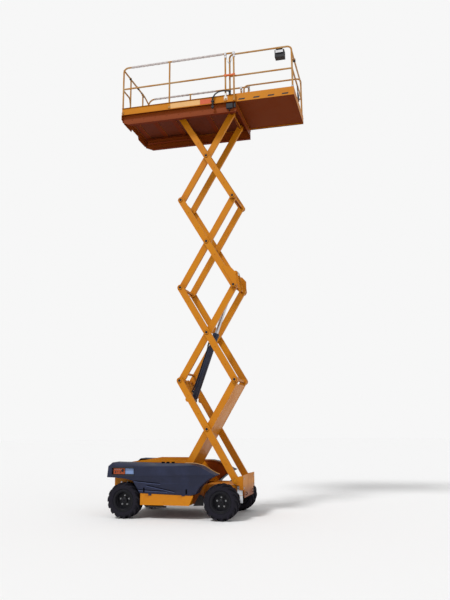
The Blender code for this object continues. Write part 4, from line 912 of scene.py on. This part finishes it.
class LIFT_OT_chassis(bpy.types.Operator):
    """Chassis finishes, bolts, welds, hoses, batteries, ladder treads and small fittings"""

    bl_idname = "lift.chassis"
    bl_label = "Chassis"

    def execute(self, context):
        orange, black, steel = enamel(), chassis_black(), zinc()
        dress(["chassis_frame"], chassis_enamel())
        dress(["side_tray_right", "side_tray_left"], orange)
        dress(["front_axle", "rear_axle", "steering_knuckle_right", "steering_knuckle_left",
               "access_ladder"], black)
        dress(["steering_rod"], turned_steel())
        dress(["label_bracket"], vinyl("plate_white", "#D9DBE0"))
        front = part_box("chassis_frame")[1].x
        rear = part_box("chassis_frame")[0].x
        base = FRONT_PINS[0]

        def bolts(bm):
            for side in (-1, 1):
                for z in (0.54, 0.70):
                    grow_bolt(bm, (front, side * 0.44, z), (1, 0, 0))
                for x in (-1.10, -0.98):
                    grow_bolt(bm, here(x, side * BAY_FACE, 0.62), (0, side, 0))
                for x in (0.62, 0.74, 1.02, 1.16):
                    grow_bolt(bm, here(x, side * NOSE_FACE, 0.52), (0, side, 0), 0.010)
                for y in (0.25, 0.48):
                    grow_bolt(bm, (rear, side * y, 0.48), (-1, 0, 0), 0.010)

        made("chassis_bolts", bolts, steel, "chassis", "bare_steel")

        def tray_bolts(bm):
            for side in (-1, 1):
                for x in (-0.55, -0.15, 0.25):
                    grow_bolt(bm, here(x, side * TRAY_FACE, 0.30), (0, side, 0), 0.009, 0.007)
                spot = Vector((base.x, side * 0.511, base.z))
                grow_ring(bm, [(0.034, 0.0), (0.052, 0.0), (0.052, 0.006), (0.036, 0.008)],
                          spot, (0, side, 0), 28)

        made("tray_bolts_and_collars", tray_bolts, orange, "chassis", "orange_paint")

        def fittings(bm):
            # ends of the lowest pins, tie-down eyes and grip pads
            for side in (-1, 1):
                spot = Vector((base.x, side * 0.512, base.z))
                grow_rod(bm, spot, spot + Vector((0, side * 0.007, 0)), 0.022, 20, edge=0.002)
                grow_ring(bm, [(0.020, -0.008), (0.032, -0.008), (0.032, 0.008), (0.020, 0.008)],
                          (front + 0.004, side * 0.30, 0.43), (0, 1, 0), 24)
            for side in (-1, 1):
                for k in range(5):
                    x = -0.30 + 0.09 * k
                    grow_box(bm, here(x, side * 0.40, 0.586), here(x + 0.05, side * 0.54, 0.592),
                             0.002)

        made("chassis_fittings", fittings, pin_black(), "chassis", "black_paint")

        def seams(bm):
            # fillet welds where the plates of the tail, the nose and the front meet
            for side in (-1, 1):
                tail, nose = side * TAIL_SEAM, side * (NOSE_FACE + 0.0005)
                grow_tube(bm, [here(-1.236, tail, 0.44), here(-1.236, tail, 0.68)], 0.006, 8)
                for end, z in ((1.25, 0.406), (1.18, 0.586)):
                    grow_tube(bm, [here(0.56, nose, z), here(end, nose, z)], 0.005, 8)
                grow_tube(bm, [(front - 0.012, side * 0.512, 0.51),
                               (front - 0.012, side * 0.512, 0.74)], 0.005, 8)

        made("chassis_welds", seams, orange, "chassis", "orange_paint")

        def under(bm):
            # dark step under the right tray with its two brackets, and a guard on each side
            grow_box(bm, here(-0.50, -0.84, 0.205), here(-0.12, -0.76, 0.232), 0.004)
            for x in (-0.46, -0.20):
                grow_box(bm, here(x, -0.83, 0.230), here(x + 0.03, -0.77, 0.251), 0.002)
            for side in (-1, 1):
                grow_plate(bm, [(MID_X + 0.33, 0.215), (MID_X + 0.53, 0.225),
                                (MID_X + 0.53, 0.39), (MID_X + 0.45, 0.42)],
                           side * 0.562, side * 0.567, edge=0.001)

        made("underguard", under, black, "chassis", "black_paint")
        self.hoses(context)
        self.ladder()
        self.tub(context)
        return {"FINISHED"}

    @staticmethod
    def tub(context):
        """Batteries, valve block and hoses in the open tub."""
        def cases(bm):
            for k in range(2):
                x = -0.46 + 0.30 * k
                grow_box(bm, here(x, -0.24, 0.258), here(x + 0.27, 0.24, 0.45), 0.010)
                grow_box(bm, here(x + 0.01, -0.23, 0.45), here(x + 0.26, 0.23, 0.468), 0.006)
                for y in (-0.17, 0.17):
                    grow_rod(bm, here(x + 0.05, y, 0.462), here(x + 0.05, y, 0.488), 0.012, 14,
                             edge=0.002)
                grow_tube(bm, smooth_path([here(x + 0.13, -0.10, 0.466),
                                           here(x + 0.13, -0.06, 0.492),
                                           here(x + 0.13, 0.06, 0.492),
                                           here(x + 0.13, 0.10, 0.466)]), 0.006, 8)

        made("battery_cases", cases, black_plastic(), "chassis", "black_paint")

        def valves(bm):
            grow_box(bm, here(-1.06, -0.15, 0.428), here(-0.86, 0.15, 0.500), 0.006)
            for k in range(5):
                y = -0.12 + 0.06 * k
                grow_rod(bm, here(-0.92, y, 0.498), here(-0.92, y, 0.565), 0.016, 16, edge=0.003)
                grow_rod(bm, here(-1.01, y, 0.498), here(-1.01, y, 0.520), 0.011, 6, edge=0.001)
            grow_rod(bm, here(-0.80, -0.22, 0.475), here(-0.80, 0.22, 0.475), 0.045, 24,
                     edge=0.006)

        made("valve_block", valves, turned_steel(), "chassis", "bare_steel")

        def pipes(bm):
            r = context.scene.lift_sizes.hose_radius
            for k in range(5):
                y = -0.12 + 0.06 * k
                grow_tube(bm, smooth_path([here(-1.01, y, 0.515), here(-1.01, y, 0.560),
                                           here(-1.06, y * 1.2, 0.578),
                                           here(-1.12, y * 1.8, 0.520),
                                           here(-1.13, y * 2.2, 0.440)]), r, 8)
            for y in (-0.27, 0.27):
                grow_tube(bm, smooth_path([here(-0.80, y * 0.8, 0.475), here(-0.74, y, 0.46),
                                           here(-0.60, y, 0.44), here(-0.20, y, 0.30),
                                           here(0.20, y, 0.30), here(0.40, y * 0.9, 0.36)]),
                          r * 1.2, 8)

        made("tub_hoses", pipes, hose_rubber(), "chassis", "black_paint")

    @staticmethod
    def hoses(context):
        """Hydraulic hoses from the tub to the axles."""
        r = context.scene.lift_sizes.hose_radius

        def runs(bm):
            for side in (-1, 1):
                for k in range(2):
                    y = side * (0.20 + 0.035 * k)
                    grow_tube(bm, smooth_path([here(-0.60, y, 0.34), here(-0.72, y, 0.32),
                                               here(-0.82, y * 1.1, 0.40),
                                               here(-0.90, y * 1.5, 0.385),
                                               here(-0.93, y * 2.0, 0.385)]), r, 10)
                    grow_tube(bm, smooth_path([here(0.48, y * 0.9, 0.36),
                                               here(0.60, y * 0.9, 0.385),
                                               here(0.72, y * 1.05, 0.392),
                                               here(0.82, y * 1.45, 0.392),
                                               here(0.88, y * 1.8, 0.391)]), r, 10)

        made("axle_hoses", runs, hose_rubber(), "chassis", "black_paint")

    @staticmethod
    def ladder():
        """Ribbed treads on the ladder."""
        low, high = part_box("access_ladder")

        def treads(bm):
            for z in (0.36, 0.62):
                for k in range(12):
                    y = low.y + 0.03 + (high.y - low.y - 0.06) * k / 11
                    grow_box(bm, (low.x + 0.002, y - 0.006, z), (low.x + 0.017, y + 0.006,
                                                                 z + 0.004), 0.001)

        made("ladder_treads", treads, turned_steel(), "chassis", "black_paint")


# ---------------------------------------------------------------- arms
# the hoses' line along an arm: share of its length, and rise over its middle
HOSE_LINE = ((0.08, 0.012), (0.2, 0.012), (0.35, 0.012), (0.44, 0.036), (0.48, 0.046),
             (0.52, 0.046), (0.56, 0.036), (0.65, 0.012), (0.8, 0.012), (0.92, 0.012))
HOSE_CLIPS = (0.14, 0.32, 0.68, 0.86)
BARREL_LENGTH = 1.40            # from the barrel's pin to its gland
PORTS = (0.16, 1.18)
# the cylinder lines between the ports: distance from the pin, and height over the barrel's axis
CYLINDER_LINE = ((0.16, 0.088), (0.24, 0.086), (0.34, 0.074), (1.02, 0.074), (1.12, 0.086),
                 (1.18, 0.088))


class LIFT_OT_arms(bpy.types.Operator):
    """Arm finishes, pin caps, weld rings, hoses and the lift cylinder's fittings"""

    bl_idname = "lift.arms"
    bl_label = "Arms and cylinder"

    def execute(self, context):
        orange, black = enamel(), pin_black()
        for i in range(1, STAGES + 1):
            dress([f"arms_outer_{i}", f"arms_inner_{i}"], orange)
        dress([f"track_roller_{k}_{n}" for k in ("lower", "upper") for n in ("right", "left")],
              turned_steel())
        dress(["lift_cylinder_barrel"], cylinder_black())
        dress(["lift_cylinder_rod"], hard_chrome())
        for i in range(STAGES):
            outer, inner = f"outer_arms_{i + 1}", f"inner_arms_{i + 1}"
            caps = [(MIDDLE_PINS[i], outer)]
            if i < STAGES - 1:
                caps += [(REAR_PINS[i + 1], outer)]
            if i != 1:
                caps += [(FRONT_PINS[i + 1], inner)]
            else:
                caps += [(FRONT_PINS[2], "outer_arms_3")]
            for k, (spot, body) in enumerate(caps):
                made(f"pin_caps_{i + 1}_{k + 1}", lambda bm, s=spot: self.caps(bm, s), orange,
                     body, "orange_paint")
                made(f"pin_bolts_{i + 1}_{k + 1}", lambda bm, s=spot: self.cap_bolts(bm, s), black,
                     body, "black_paint")
            self.bosses(i, outer, inner, orange)
        self.arm_hoses(context)
        self.cylinder(context)
        return {"FINISHED"}

    @staticmethod
    def caps(bm, spot):
        """Orange retaining discs on the ends of a pin."""
        for side in (-1, 1):
            centre = Vector((spot.x, side * ARM_FACE, spot.z))
            grow_ring(bm, [(0.006, -0.001), (0.040, -0.001), (0.042, 0.002), (0.038, 0.006),
                           (0.012, 0.007), (0.006, 0.006)], centre, (0, side, 0), 28)

    @staticmethod
    def cap_bolts(bm, spot):
        """The dark end of the pin in each retaining disc, with its bolt."""
        for side in (-1, 1):
            grow_rod(bm, (spot.x, side * (ARM_FACE - 0.001), spot.z),
                     (spot.x, side * (ARM_FACE + 0.0085), spot.z), 0.026, 24, edge=0.001)
            grow_rod(bm, (spot.x, side * (ARM_FACE + 0.008), spot.z),
                     (spot.x, side * (ARM_FACE + 0.011), spot.z), 0.011, 6, edge=0.001)

    @staticmethod
    def bosses(i, outer, inner, orange):
        """Weld rings and plug welds on the outer arms, and pads on the inner arms."""
        rise = (FRONT_PINS[i + 1] - REAR_PINS[i]).normalized()
        fall = (FRONT_PINS[i] - REAR_PINS[i + 1]).normalized()

        def weld_outer(bm):
            for side in (-1, 1):
                y = side * (ARM_FACE - 0.008)
                for spot in (MIDDLE_PINS[i], REAR_PINS[i + 1], FRONT_PINS[i]):
                    grow_ring(bm, [(0.044, -0.001), (0.052, -0.001), (0.049, 0.004)],
                              (spot.x, y, spot.z), (0, side, 0), 28)
                for t in (0.25, 0.75):
                    middle = FRONT_PINS[i].lerp(REAR_PINS[i + 1], t)
                    for way in (-1, 1):
                        a = middle + fall * 0.20 * way
                        grow_ring(bm, [(0.008, -0.001), (0.012, -0.001), (0.010, 0.003)],
                                  (a.x, y, a.z), (0, side, 0), 14)

        made(f"arm_welds_outer_{i + 1}", weld_outer, orange, outer, "orange_paint")

        def weld_inner(bm):
            for side in (-1, 1):
                for spot in (REAR_PINS[i].lerp(FRONT_PINS[i + 1], 0.30),
                             REAR_PINS[i].lerp(FRONT_PINS[i + 1], 0.70)):
                    grow_plate(bm, tilted(spot, rise, 0.05, 0.03), side * 0.331, side * 0.3355,
                               edge=0.001)

        made(f"arm_pads_inner_{i + 1}", weld_inner, orange, inner, "orange_paint")

    @staticmethod
    def arm_hoses(context):
        """Hydraulic lines and the deck's cable, clipped inside the inner arms."""
        r = context.scene.lift_sizes.hose_radius
        for i in range(STAGES):
            low, high = REAR_PINS[i], FRONT_PINS[i + 1]
            along = (high - low).normalized()
            up = Vector((-along.z, 0, along.x))

            def run(bm):
                for k in range(3):
                    y = -0.326 + 0.020 * k
                    line = [low.lerp(high, t) + up * (rise + 0.004 * sin(9 * t + k))
                            for t, rise in HOSE_LINE]
                    path = smooth_path([Vector((p.x, y, p.z)) for p in line], 5)
                    grow_tube(bm, path, r * (0.8 if k else 1.0), 8)

            body = f"inner_arms_{i + 1}"
            made(f"arm_hoses_{i + 1}", run, hose_rubber(), body, "black_paint")

            def clips(bm):
                for t in HOSE_CLIPS:
                    p = low.lerp(high, t) + up * 0.012
                    grow_plate(bm, tilted(p, along, 0.012, 0.018), -0.3365, -0.272,
                               edge=0.002)

            made(f"hose_clips_{i + 1}", clips, pin_black(), body, "black_paint")

    @staticmethod
    def cylinder(context):
        """Gland ring, ports, lines and pin caps of the lift cylinder."""
        low = pin("cylinder_swing")
        along = Vector(JOINTS["cylinder_stroke"]["axis"]).normalized()
        up = Vector((-along.z, 0, along.x))
        end = low + along * BARREL_LENGTH

        def fittings(bm):
            grow_ring(bm, [(0.036, -0.001), (0.060, -0.001), (0.061, 0.008), (0.056, 0.013),
                           (0.036, 0.014)], end, along, 28)
            for t in PORTS:
                spot = low + along * t + up * 0.062
                grow_rod(bm, spot - up * 0.006, spot + up * 0.024, 0.022, 12, edge=0.003)
                grow_rod(bm, spot + up * 0.02, spot + up * 0.042, 0.012, 6, edge=0.001)

        made("cylinder_fittings", fittings, cylinder_black(), "cylinder_barrel", "black_paint")

        def line(bm):
            r = context.scene.lift_sizes.hose_radius
            for y in (-0.02, 0.02):
                path = [low + along * a + up * b for a, b in CYLINDER_LINE]
                grow_tube(bm, smooth_path([p + Vector((0, y, 0)) for p in path]), r, 10)

        made("cylinder_lines", line, hose_rubber(), "cylinder_barrel", "black_paint")

        def pins(bm):
            for side in (-1, 1):
                base = Vector((low.x, side * 0.110, low.z))
                grow_rod(bm, base, base + Vector((0, side * 0.014, 0)), 0.030, 20, edge=0.002)

        made("cylinder_pin_caps", pins, pin_black(), "outer_arms_1", "black_paint")


# ---------------------------------------------------------------- deck
DECK_PATCHES = (("deck_plate_blank", "#DDAA6A", -0.13, 0.52),
                ("deck_plate_red", "#C9562C", 0.522, 0.76))
DASHES = (1.40, 1.71, 2.01, 2.30)
# side, start and end of each stretch of film on a top rail
WRAPS = ((-1, -1.02, -0.19), (-1, -0.10, 1.02), (1, -1.05, -0.19), (1, -0.10, 0.47))
# the conduit's line: x, and height over the floor
CONDUIT = ((0.80, -0.12), (0.80, 0.07), (0.815, 0.135), (0.865, 0.195), (0.93, 0.228),
           (1.02, 0.242), (1.10, 0.230))
JOINT_XS = (1.07, 1.25)         # the posts on both sides of the gap in the rails
BEAM_FACE = 0.7063              # outer face of the deck's long beams


class LIFT_OT_deck(bpy.types.Operator):
    """Deck finishes, blank plates, sockets, clamps, film, chain, entry bar and controls"""

    bl_idname = "lift.deck"
    bl_label = "Deck"

    def execute(self, context):
        orange, cream, black, steel = enamel(), rail_paint(), black_plastic(), zinc()
        dress(["platform_frame"], deck_enamel())
        dress(["extension_deck"], orange)
        dress(["platform_floor"], floor_plate())
        dress(["guardrail_right", "guardrail_left", "extension_guardrail", "entry_gate"], cream)
        dress(["cable_conduit"], hose_rubber())
        dress(["control_box"], black)
        toe_face = RAIL_Y + 0.002
        for name, colour, x0, x1 in DECK_PATCHES:
            made(name, lambda bm, a=x0, b=x1: grow_box(
                bm, here(a, -toe_face + 0.0005, FLOOR_TOP + 0.015),
                here(b, -toe_face - 0.0015, FLOOR_TOP + 0.125), 0.0005),
                vinyl("vinyl_" + name, colour), "platform", "white_plate")
        self.posts(cream, steel)
        self.extension(black, steel)
        self.entry(black)
        self.underside(black)
        self.conduit(black)
        self.control_head(black)
        return {"FINISHED"}

    @staticmethod
    def posts(cream, steel):
        """Sockets at the posts' feet, sleeves, clamps and chain in the gap, film on the rails."""
        def sockets(bm):
            for side in (-1, 1):
                for x in (-1.20, -0.154):
                    grow_collar(bm, here(x, side * RAIL_Y, TOE_TOP), 0.019, 0.027, 0.035, 0.01)
                for x in JOINT_XS:
                    grow_collar(bm, here(x, side * RAIL_Y, TOE_TOP - 0.002), 0.019, 0.028, 0.050,
                                0.01)

        made("post_sockets", sockets, cream, "platform", "cream_rail_paint")

        def sleeves(bm):
            for side in (-1, 1):
                for x in JOINT_XS:
                    grow_box(bm, here(x - 0.026, side * (RAIL_Y - 0.026), MID_RAIL - 0.026),
                             here(x + 0.026, side * (RAIL_Y + 0.024), MID_RAIL + 0.026), 0.006)
                grow_rod(bm, here(1.09, side * RAIL_Y, MID_RAIL), here(1.23, side * RAIL_Y,
                                                                      MID_RAIL), 0.0225, 18)

        made("rail_sleeves", sleeves, vinyl("sleeve_red_orange", "#D0662B"), "platform",
             "orange_paint")

        def clamps(bm):
            for side in (-1, 1):
                for x in JOINT_XS:
                    grow_box(bm, here(x - 0.027, side * (RAIL_Y - 0.027), TOP_RAIL - 0.040),
                             here(x + 0.027, side * (RAIL_Y + 0.027), TOP_RAIL + 0.0215), 0.008)
                    grow_box(bm, here(x - 0.010, side * (RAIL_Y - 0.012), TOP_RAIL - 0.10),
                             here(x + 0.030, side * (RAIL_Y + 0.026), TOP_RAIL - 0.055), 0.005)

        made("rail_clamps", clamps, pale_plastic(), "platform", "white_plate")

        def wrap(bm):
            # a loose sleeve of film wound round the rail: uneven, with lapped edges
            for side, start, end in WRAPS:
                turns = round((end - start) / 0.0125)
                for k in range(turns):
                    x = start + (end - start) * k / turns
                    r = 0.0225 + 0.0022 * sin(2.3 * k) + 0.0015 * sin(0.7 * k)
                    grow_ring(bm, [(0.0192, 0.0), (r, 0.0015), (r + 0.0015, 0.011),
                                   (0.0192, 0.0135)], here(x, side * RAIL_Y, TOP_RAIL - 0.0012),
                              (1, 0.05 * sin(k), 0.05 * cos(k)), 14)

        made("rail_wrap", wrap, film_wrap(), "platform", "white_plate")

        def chain(bm):
            for side in (-1, 1):
                count = 17
                for k in range(count):
                    t = k / (count - 1)
                    spot = here(1.09 + 0.14 * t, side * (RAIL_Y + 0.012),
                                TOP_RAIL - 0.075 - 0.16 * 4 * t * (1 - t))
                    slope = atan2(-0.64 * (1 - 2 * t), 0.14)
                    grow_link(bm, spot, slope, k % 2)

        made("rail_chain", chain, steel, "platform", "bare_steel")

        # a near-white sleeve on the near post by the gap and a patch on the toe board below it: a
        # painted highlight
        def foot_highlight(bm):
            x = JOINT_XS[0]
            grow_collar(bm, here(x, -RAIL_Y, TOE_TOP + 0.06), 0.0187, 0.0205, 0.11)
            grow_box(bm, here(x - 0.035, -RAIL_Y - 0.0035, FLOOR_TOP + 0.04),
                     here(x + 0.035, -RAIL_Y - 0.0015, FLOOR_TOP + 0.13), 0.0005)

        made("post_reflectors", foot_highlight, vinyl("vinyl_painted_highlight", "#E4E2DC"), "platform",
             "white_plate")

    @staticmethod
    def extension(black, steel):
        """Slanted dashes, bolts, sockets, brackets and treads of the roll-out deck."""
        low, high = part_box("extension_deck")

        def dashes(bm):
            for side in (-1, 1):
                y = side * (high.y + 0.0004)
                for x in DASHES:
                    z = FLOOR_TOP + 0.032
                    grow_plate(bm, [(MID_X + x - 0.075, z), (MID_X + x + 0.055, z),
                                    (MID_X + x + 0.075, z + 0.030),
                                    (MID_X + x - 0.055, z + 0.030)], y - side * 0.001,
                               y + side * 0.0008)

        made("extension_dashes", dashes, vinyl("vinyl_black", "#1E1B1C"), "extension",
             "black_paint")

        def hardware(bm):
            for side in (-1, 1):
                y = side * 0.695
                for z in (0.04, 0.12):
                    grow_bolt(bm, (high.x, y, FLOOR_TOP + z), (1, 0, 0), 0.009, 0.007)
                for x in (low.x + 0.05, high.x - 0.025):
                    grow_collar(bm, (x, side * 0.69, FLOOR_TOP + 0.1803), 0.0192, 0.026, 0.025,
                                0.007)

        made("extension_hardware", hardware, steel, "extension", "bare_steel")

        def bracket(bm):
            x = high.x - 0.025
            grow_box(bm, (x - 0.030, -0.33, TOP_RAIL - 0.140), (x + 0.0245, -0.27,
                                                                TOP_RAIL - 0.080), 0.006)
            grow_box(bm, (x + 0.002, -0.02, FLOOR_TOP + 0.25), (x + 0.0245, 0.14,
                                                               FLOOR_TOP + 0.40), 0.008)
            grow_tube(bm, smooth_path([(x, 0.06, FLOOR_TOP + 0.39), (x, 0.055, FLOOR_TOP + 0.46),
                                       (x, 0.03, FLOOR_TOP + 0.56), (x, 0.02,
                                                                     FLOOR_TOP + 0.598)]),
                      0.009, 8)

        made("extension_brackets", bracket, black, "extension", "black_paint")

        def treads(bm):
            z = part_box("extension_deck")[0].z + 0.0197
            for k in range(13):
                x = low.x + 0.06 + 0.10 * k
                grow_box(bm, (x, -0.66, z), (x + 0.030, 0.66, z + 0.0035), 0.001)

        made("extension_treads", treads, floor_plate(), "extension", "orange_paint")

    @staticmethod
    def entry(black):
        """Latch, hinge collar and grip of the entry bar."""
        low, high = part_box("entry_gate")
        x, z = (low.x + high.x) / 2, (low.z + high.z) / 2

        def gate_parts(bm):
            grow_ring(bm, [(0.0176, -0.06), (0.024, -0.055), (0.024, 0.055), (0.0176, 0.06)],
                      (x, 0.05, z), (0, 1, 0), 18)
            grow_ring(bm, [(0.0176, -0.012), (0.022, -0.008), (0.022, 0.008), (0.0176, 0.012)],
                      (x, high.y - 0.06, z), (0, 1, 0), 18)

        made("entry_bar_grip", gate_parts, black, "gate", "black_paint")

        def latch(bm):
            grow_box(bm, (x - 0.020, -0.407, z - 0.026), (x + 0.020, -0.362, z + 0.022),
                     0.005)
            grow_box(bm, (x - 0.016, 0.398, z - 0.055), (x + 0.016, 0.43, z), 0.005)

        made("entry_latch", latch, black, "platform", "black_paint")

    @staticmethod
    def underside(black):
        """Bolts along the beams, and the cable boxes under the front."""
        low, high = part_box("platform_frame")

        def bolts(bm):
            for side in (-1, 1):
                for k in range(9):
                    x = low.x + 0.22 + 0.26 * k
                    grow_bolt(bm, (x, side * BEAM_FACE, low.z + 0.11), (0, side, 0), 0.009,
                              0.007)

        made("beam_bolts", bolts, deck_enamel(), "platform", "orange_paint")

        def boxes(bm):
            def at(x, y, z):
                return Vector((high.x + x, y - BEAM_FACE, low.z + z))

            grow_box(bm, at(-0.20, -0.055, 0.075), at(-0.06, -0.001, 0.185), 0.006)
            grow_box(bm, at(-0.045, -0.035, 0.09), at(-0.004, -0.001, 0.20), 0.005)
            grow_tube(bm, smooth_path([at(-0.13, -0.03, 0.078), at(-0.13, -0.03, 0.045),
                                       at(-0.16, 0.02, 0.030), at(-0.24, 0.10, 0.055)]), 0.010,
                      8)

        made("deck_junction_boxes", boxes, black, "platform", "black_paint")

    @staticmethod
    def conduit(black):
        """Ribs on the climbing conduit and its saddles."""
        y = -(RAIL_Y + 0.034)

        def ribs(bm):
            path = smooth_path([here(x, y, FLOOR_TOP + z) for x, z in CONDUIT], 9)
            for a, b in zip(path[2:-2:2], path[3:-1:2]):
                grow_ring(bm, [(0.012, -0.004), (0.0165, -0.002), (0.0165, 0.002),
                               (0.012, 0.004)], a, b - a, 14)
            grow_box(bm, here(0.770, y - 0.017, FLOOR_TOP - 0.105),
                     here(0.830, -0.768, FLOOR_TOP - 0.065), 0.004)
            grow_box(bm, here(0.768, y - 0.017, FLOOR_TOP + 0.025),
                     here(0.832, -0.753, FLOOR_TOP + 0.055), 0.004)

        made("conduit_ribs", ribs, black, "platform", "black_paint")

    @staticmethod
    def control_head(black):
        """Pale fascia, stick, switches and stop button on the deck's control box."""
        low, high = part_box("control_box")
        x0, x1 = low.x, high.x
        y0, y1 = high.y - 0.140, high.y - 0.006
        z = high.z - 0.052

        def fascia(bm):
            grow_box(bm, (x0 + 0.006, y0, z - 0.001), (x1 - 0.006, y1, z + 0.006), 0.002)
            grow_box(bm, (x0 + 0.02, low.y + 0.003, z - 0.075), (x1 - 0.02, low.y + 0.0075,
                                                               z - 0.018), 0.001)

        made("control_fascia", fascia, pale_plastic(), "extension", "box_grey")

        def stick(bm):
            base = Vector((x0 + 0.06, (y0 + y1) / 2, z + 0.005))
            grow_rod(bm, base, base + Vector((0, 0, 0.014)), 0.026, 20, tip=0.014, edge=0.002)
            grow_rod(bm, base + Vector((0, 0, 0.010)), base + Vector((0, 0, 0.030)), 0.007, 12)
            grow_rod(bm, base + Vector((0, 0, 0.022)), base + Vector((0, 0, 0.046)), 0.013, 16,
                     tip=0.016, edge=0.004)
            for k in range(3):
                spot = Vector((x0 + 0.115, y0 + 0.03 + 0.035 * k, z + 0.005))
                grow_rod(bm, spot, spot + Vector((0, 0, 0.016)), 0.008, 12, edge=0.002)

        made("control_stick", stick, black, "extension", "black_paint")

        def stop(bm):
            spot = Vector((x1 - 0.035, (y0 + y1) / 2, z + 0.005))
            grow_rod(bm, spot, spot + Vector((0, 0, 0.012)), 0.012, 16)
            grow_rod(bm, spot + Vector((0, 0, 0.010)), spot + Vector((0, 0, 0.026)), 0.021, 24,
                     edge=0.005)

        made("control_stop_button", stop, vinyl("plastic_red", "#B3201C"), "extension",
             "orange_paint")


def grow_link(bm, spot, slope, turned):
    """One oval link of a chain that hangs in the XZ plane."""
    along = Vector((cos(slope), 0, sin(slope)))
    across = Vector((0, 1, 0)) if turned else Vector((-along.z, 0, along.x))
    points = [spot + along * 0.013 * cos(2 * pi * k / 12) + across * 0.007 * sin(2 * pi * k / 12)
              for k in range(12)]
    grow_tube(bm, points, 0.0022, 6, cyclic=True)


# ---------------------------------------------------------------- stage
class LIFT_OT_stage(bpy.types.Operator):
    """Pale floor, soft studio light and the camera"""

    bl_idname = "lift.stage"
    bl_label = "Stage"

    def execute(self, context):
        scene = context.scene
        bm = bmesh.new()
        bmesh.ops.create_circle(bm, cap_ends=True, segments=96, radius=60)
        mesh = bpy.data.meshes.new("studio_floor")
        bm.to_mesh(mesh)
        bm.free()
        floor = bpy.data.objects.new("studio_floor", mesh)
        scene.collection.objects.link(floor)
        mesh.materials.append(finish("studio_paper", hexed("#F4F4F4"), 0.9, grain_mm=40,
                                     grain_depth=0.02))

        world = bpy.data.worlds.new("studio")
        scene.world = world
        world.use_nodes = True
        backdrop = world.node_tree.nodes["Background"]
        backdrop.inputs["Color"].default_value = (1, 1, 1, 1)
        seen = add(world.node_tree, "ShaderNodeLightPath").outputs["Is Camera Ray"]
        level = add(world.node_tree, "ShaderNodeMapRange", {"Value": seen, "To Min": 0.55,
                                                            "To Max": 0.93})
        world.node_tree.links.new(level.outputs["Result"], backdrop.inputs["Strength"])

        for name, aim, power, angle in (("key", (0.30, 0.62, -0.80), 1.9, 12),
                                        ("fill", (-0.75, 0.45, -0.25), 0.35, 40)):
            lamp = bpy.data.lights.new(name, "SUN")
            lamp.energy = power
            lamp.angle = radians(angle)
            item = bpy.data.objects.new(name, lamp)
            item.rotation_euler = Vector(aim).to_track_quat("-Z", "Y").to_euler()
            scene.collection.objects.link(item)

        camera = bpy.data.objects.new("camera", bpy.data.cameras.new("camera"))
        camera.location = here(4.0772, -12.9284, 1.7228)
        yaw, pitch, roll = -0.2515, 0.2245, -0.0077
        ahead = Vector((sin(yaw) * cos(pitch), cos(yaw) * cos(pitch), sin(pitch)))
        right = Vector((cos(yaw), -sin(yaw), 0))
        up = right.cross(ahead)
        right, up = cos(roll) * right + sin(roll) * up, cos(roll) * up - sin(roll) * right
        camera.rotation_euler = Matrix((right, up, -ahead)).transposed().to_euler()
        camera.data.lens = 39.79
        camera.data.shift_x = 0.0063
        camera.data.shift_y = -0.0488
        camera.data.clip_end = 300
        scene.collection.objects.link(camera)
        scene.camera = camera
        scene.view_settings.view_transform = "Standard"
        return {"FINISHED"}


class LIFT_PT_panel(bpy.types.Panel):
    """Sizes, colours and pieces of the lift"""

    bl_idname = "LIFT_PT_panel"
    bl_label = "Scissor lift"
    bl_space_type = "VIEW_3D"
    bl_region_type = "UI"
    bl_category = "Lift"

    def draw(self, context):
        scene = context.scene
        for group in (scene.lift_finish, scene.lift_sizes):
            for key in group.__annotations__:
                self.layout.prop(group, key)
        for operator in OPERATORS:
            self.layout.operator(operator.bl_idname)


OPERATORS = (LIFT_OT_stage, LIFT_OT_wheels, LIFT_OT_covers, LIFT_OT_power_pack, LIFT_OT_chassis,
             LIFT_OT_arms, LIFT_OT_deck)
GROUPS = (LIFT_PG_finish, LIFT_PG_sizes)


def register():
    """Adds the settings, the operators and the panel."""
    for item in (*GROUPS, *OPERATORS, LIFT_PT_panel):
        bpy.utils.register_class(item)
    bpy.types.Scene.lift_finish = bpy.props.PointerProperty(type=LIFT_PG_finish)
    bpy.types.Scene.lift_sizes = bpy.props.PointerProperty(type=LIFT_PG_sizes)


def unregister():
    """Removes them."""
    del bpy.types.Scene.lift_sizes
    del bpy.types.Scene.lift_finish
    for item in (LIFT_PT_panel, *reversed(OPERATORS), *reversed(GROUPS)):
        bpy.utils.unregister_class(item)


def main():
    """Builds every piece."""
    register()
    for item in [o for o in bpy.data.objects if o.type in {"LIGHT", "CAMERA"}]:
        bpy.data.objects.remove(item)
    for operator in OPERATORS:
        getattr(bpy.ops.lift, operator.bl_idname.split(".")[1])()


if __name__ == "__main__":
    main()
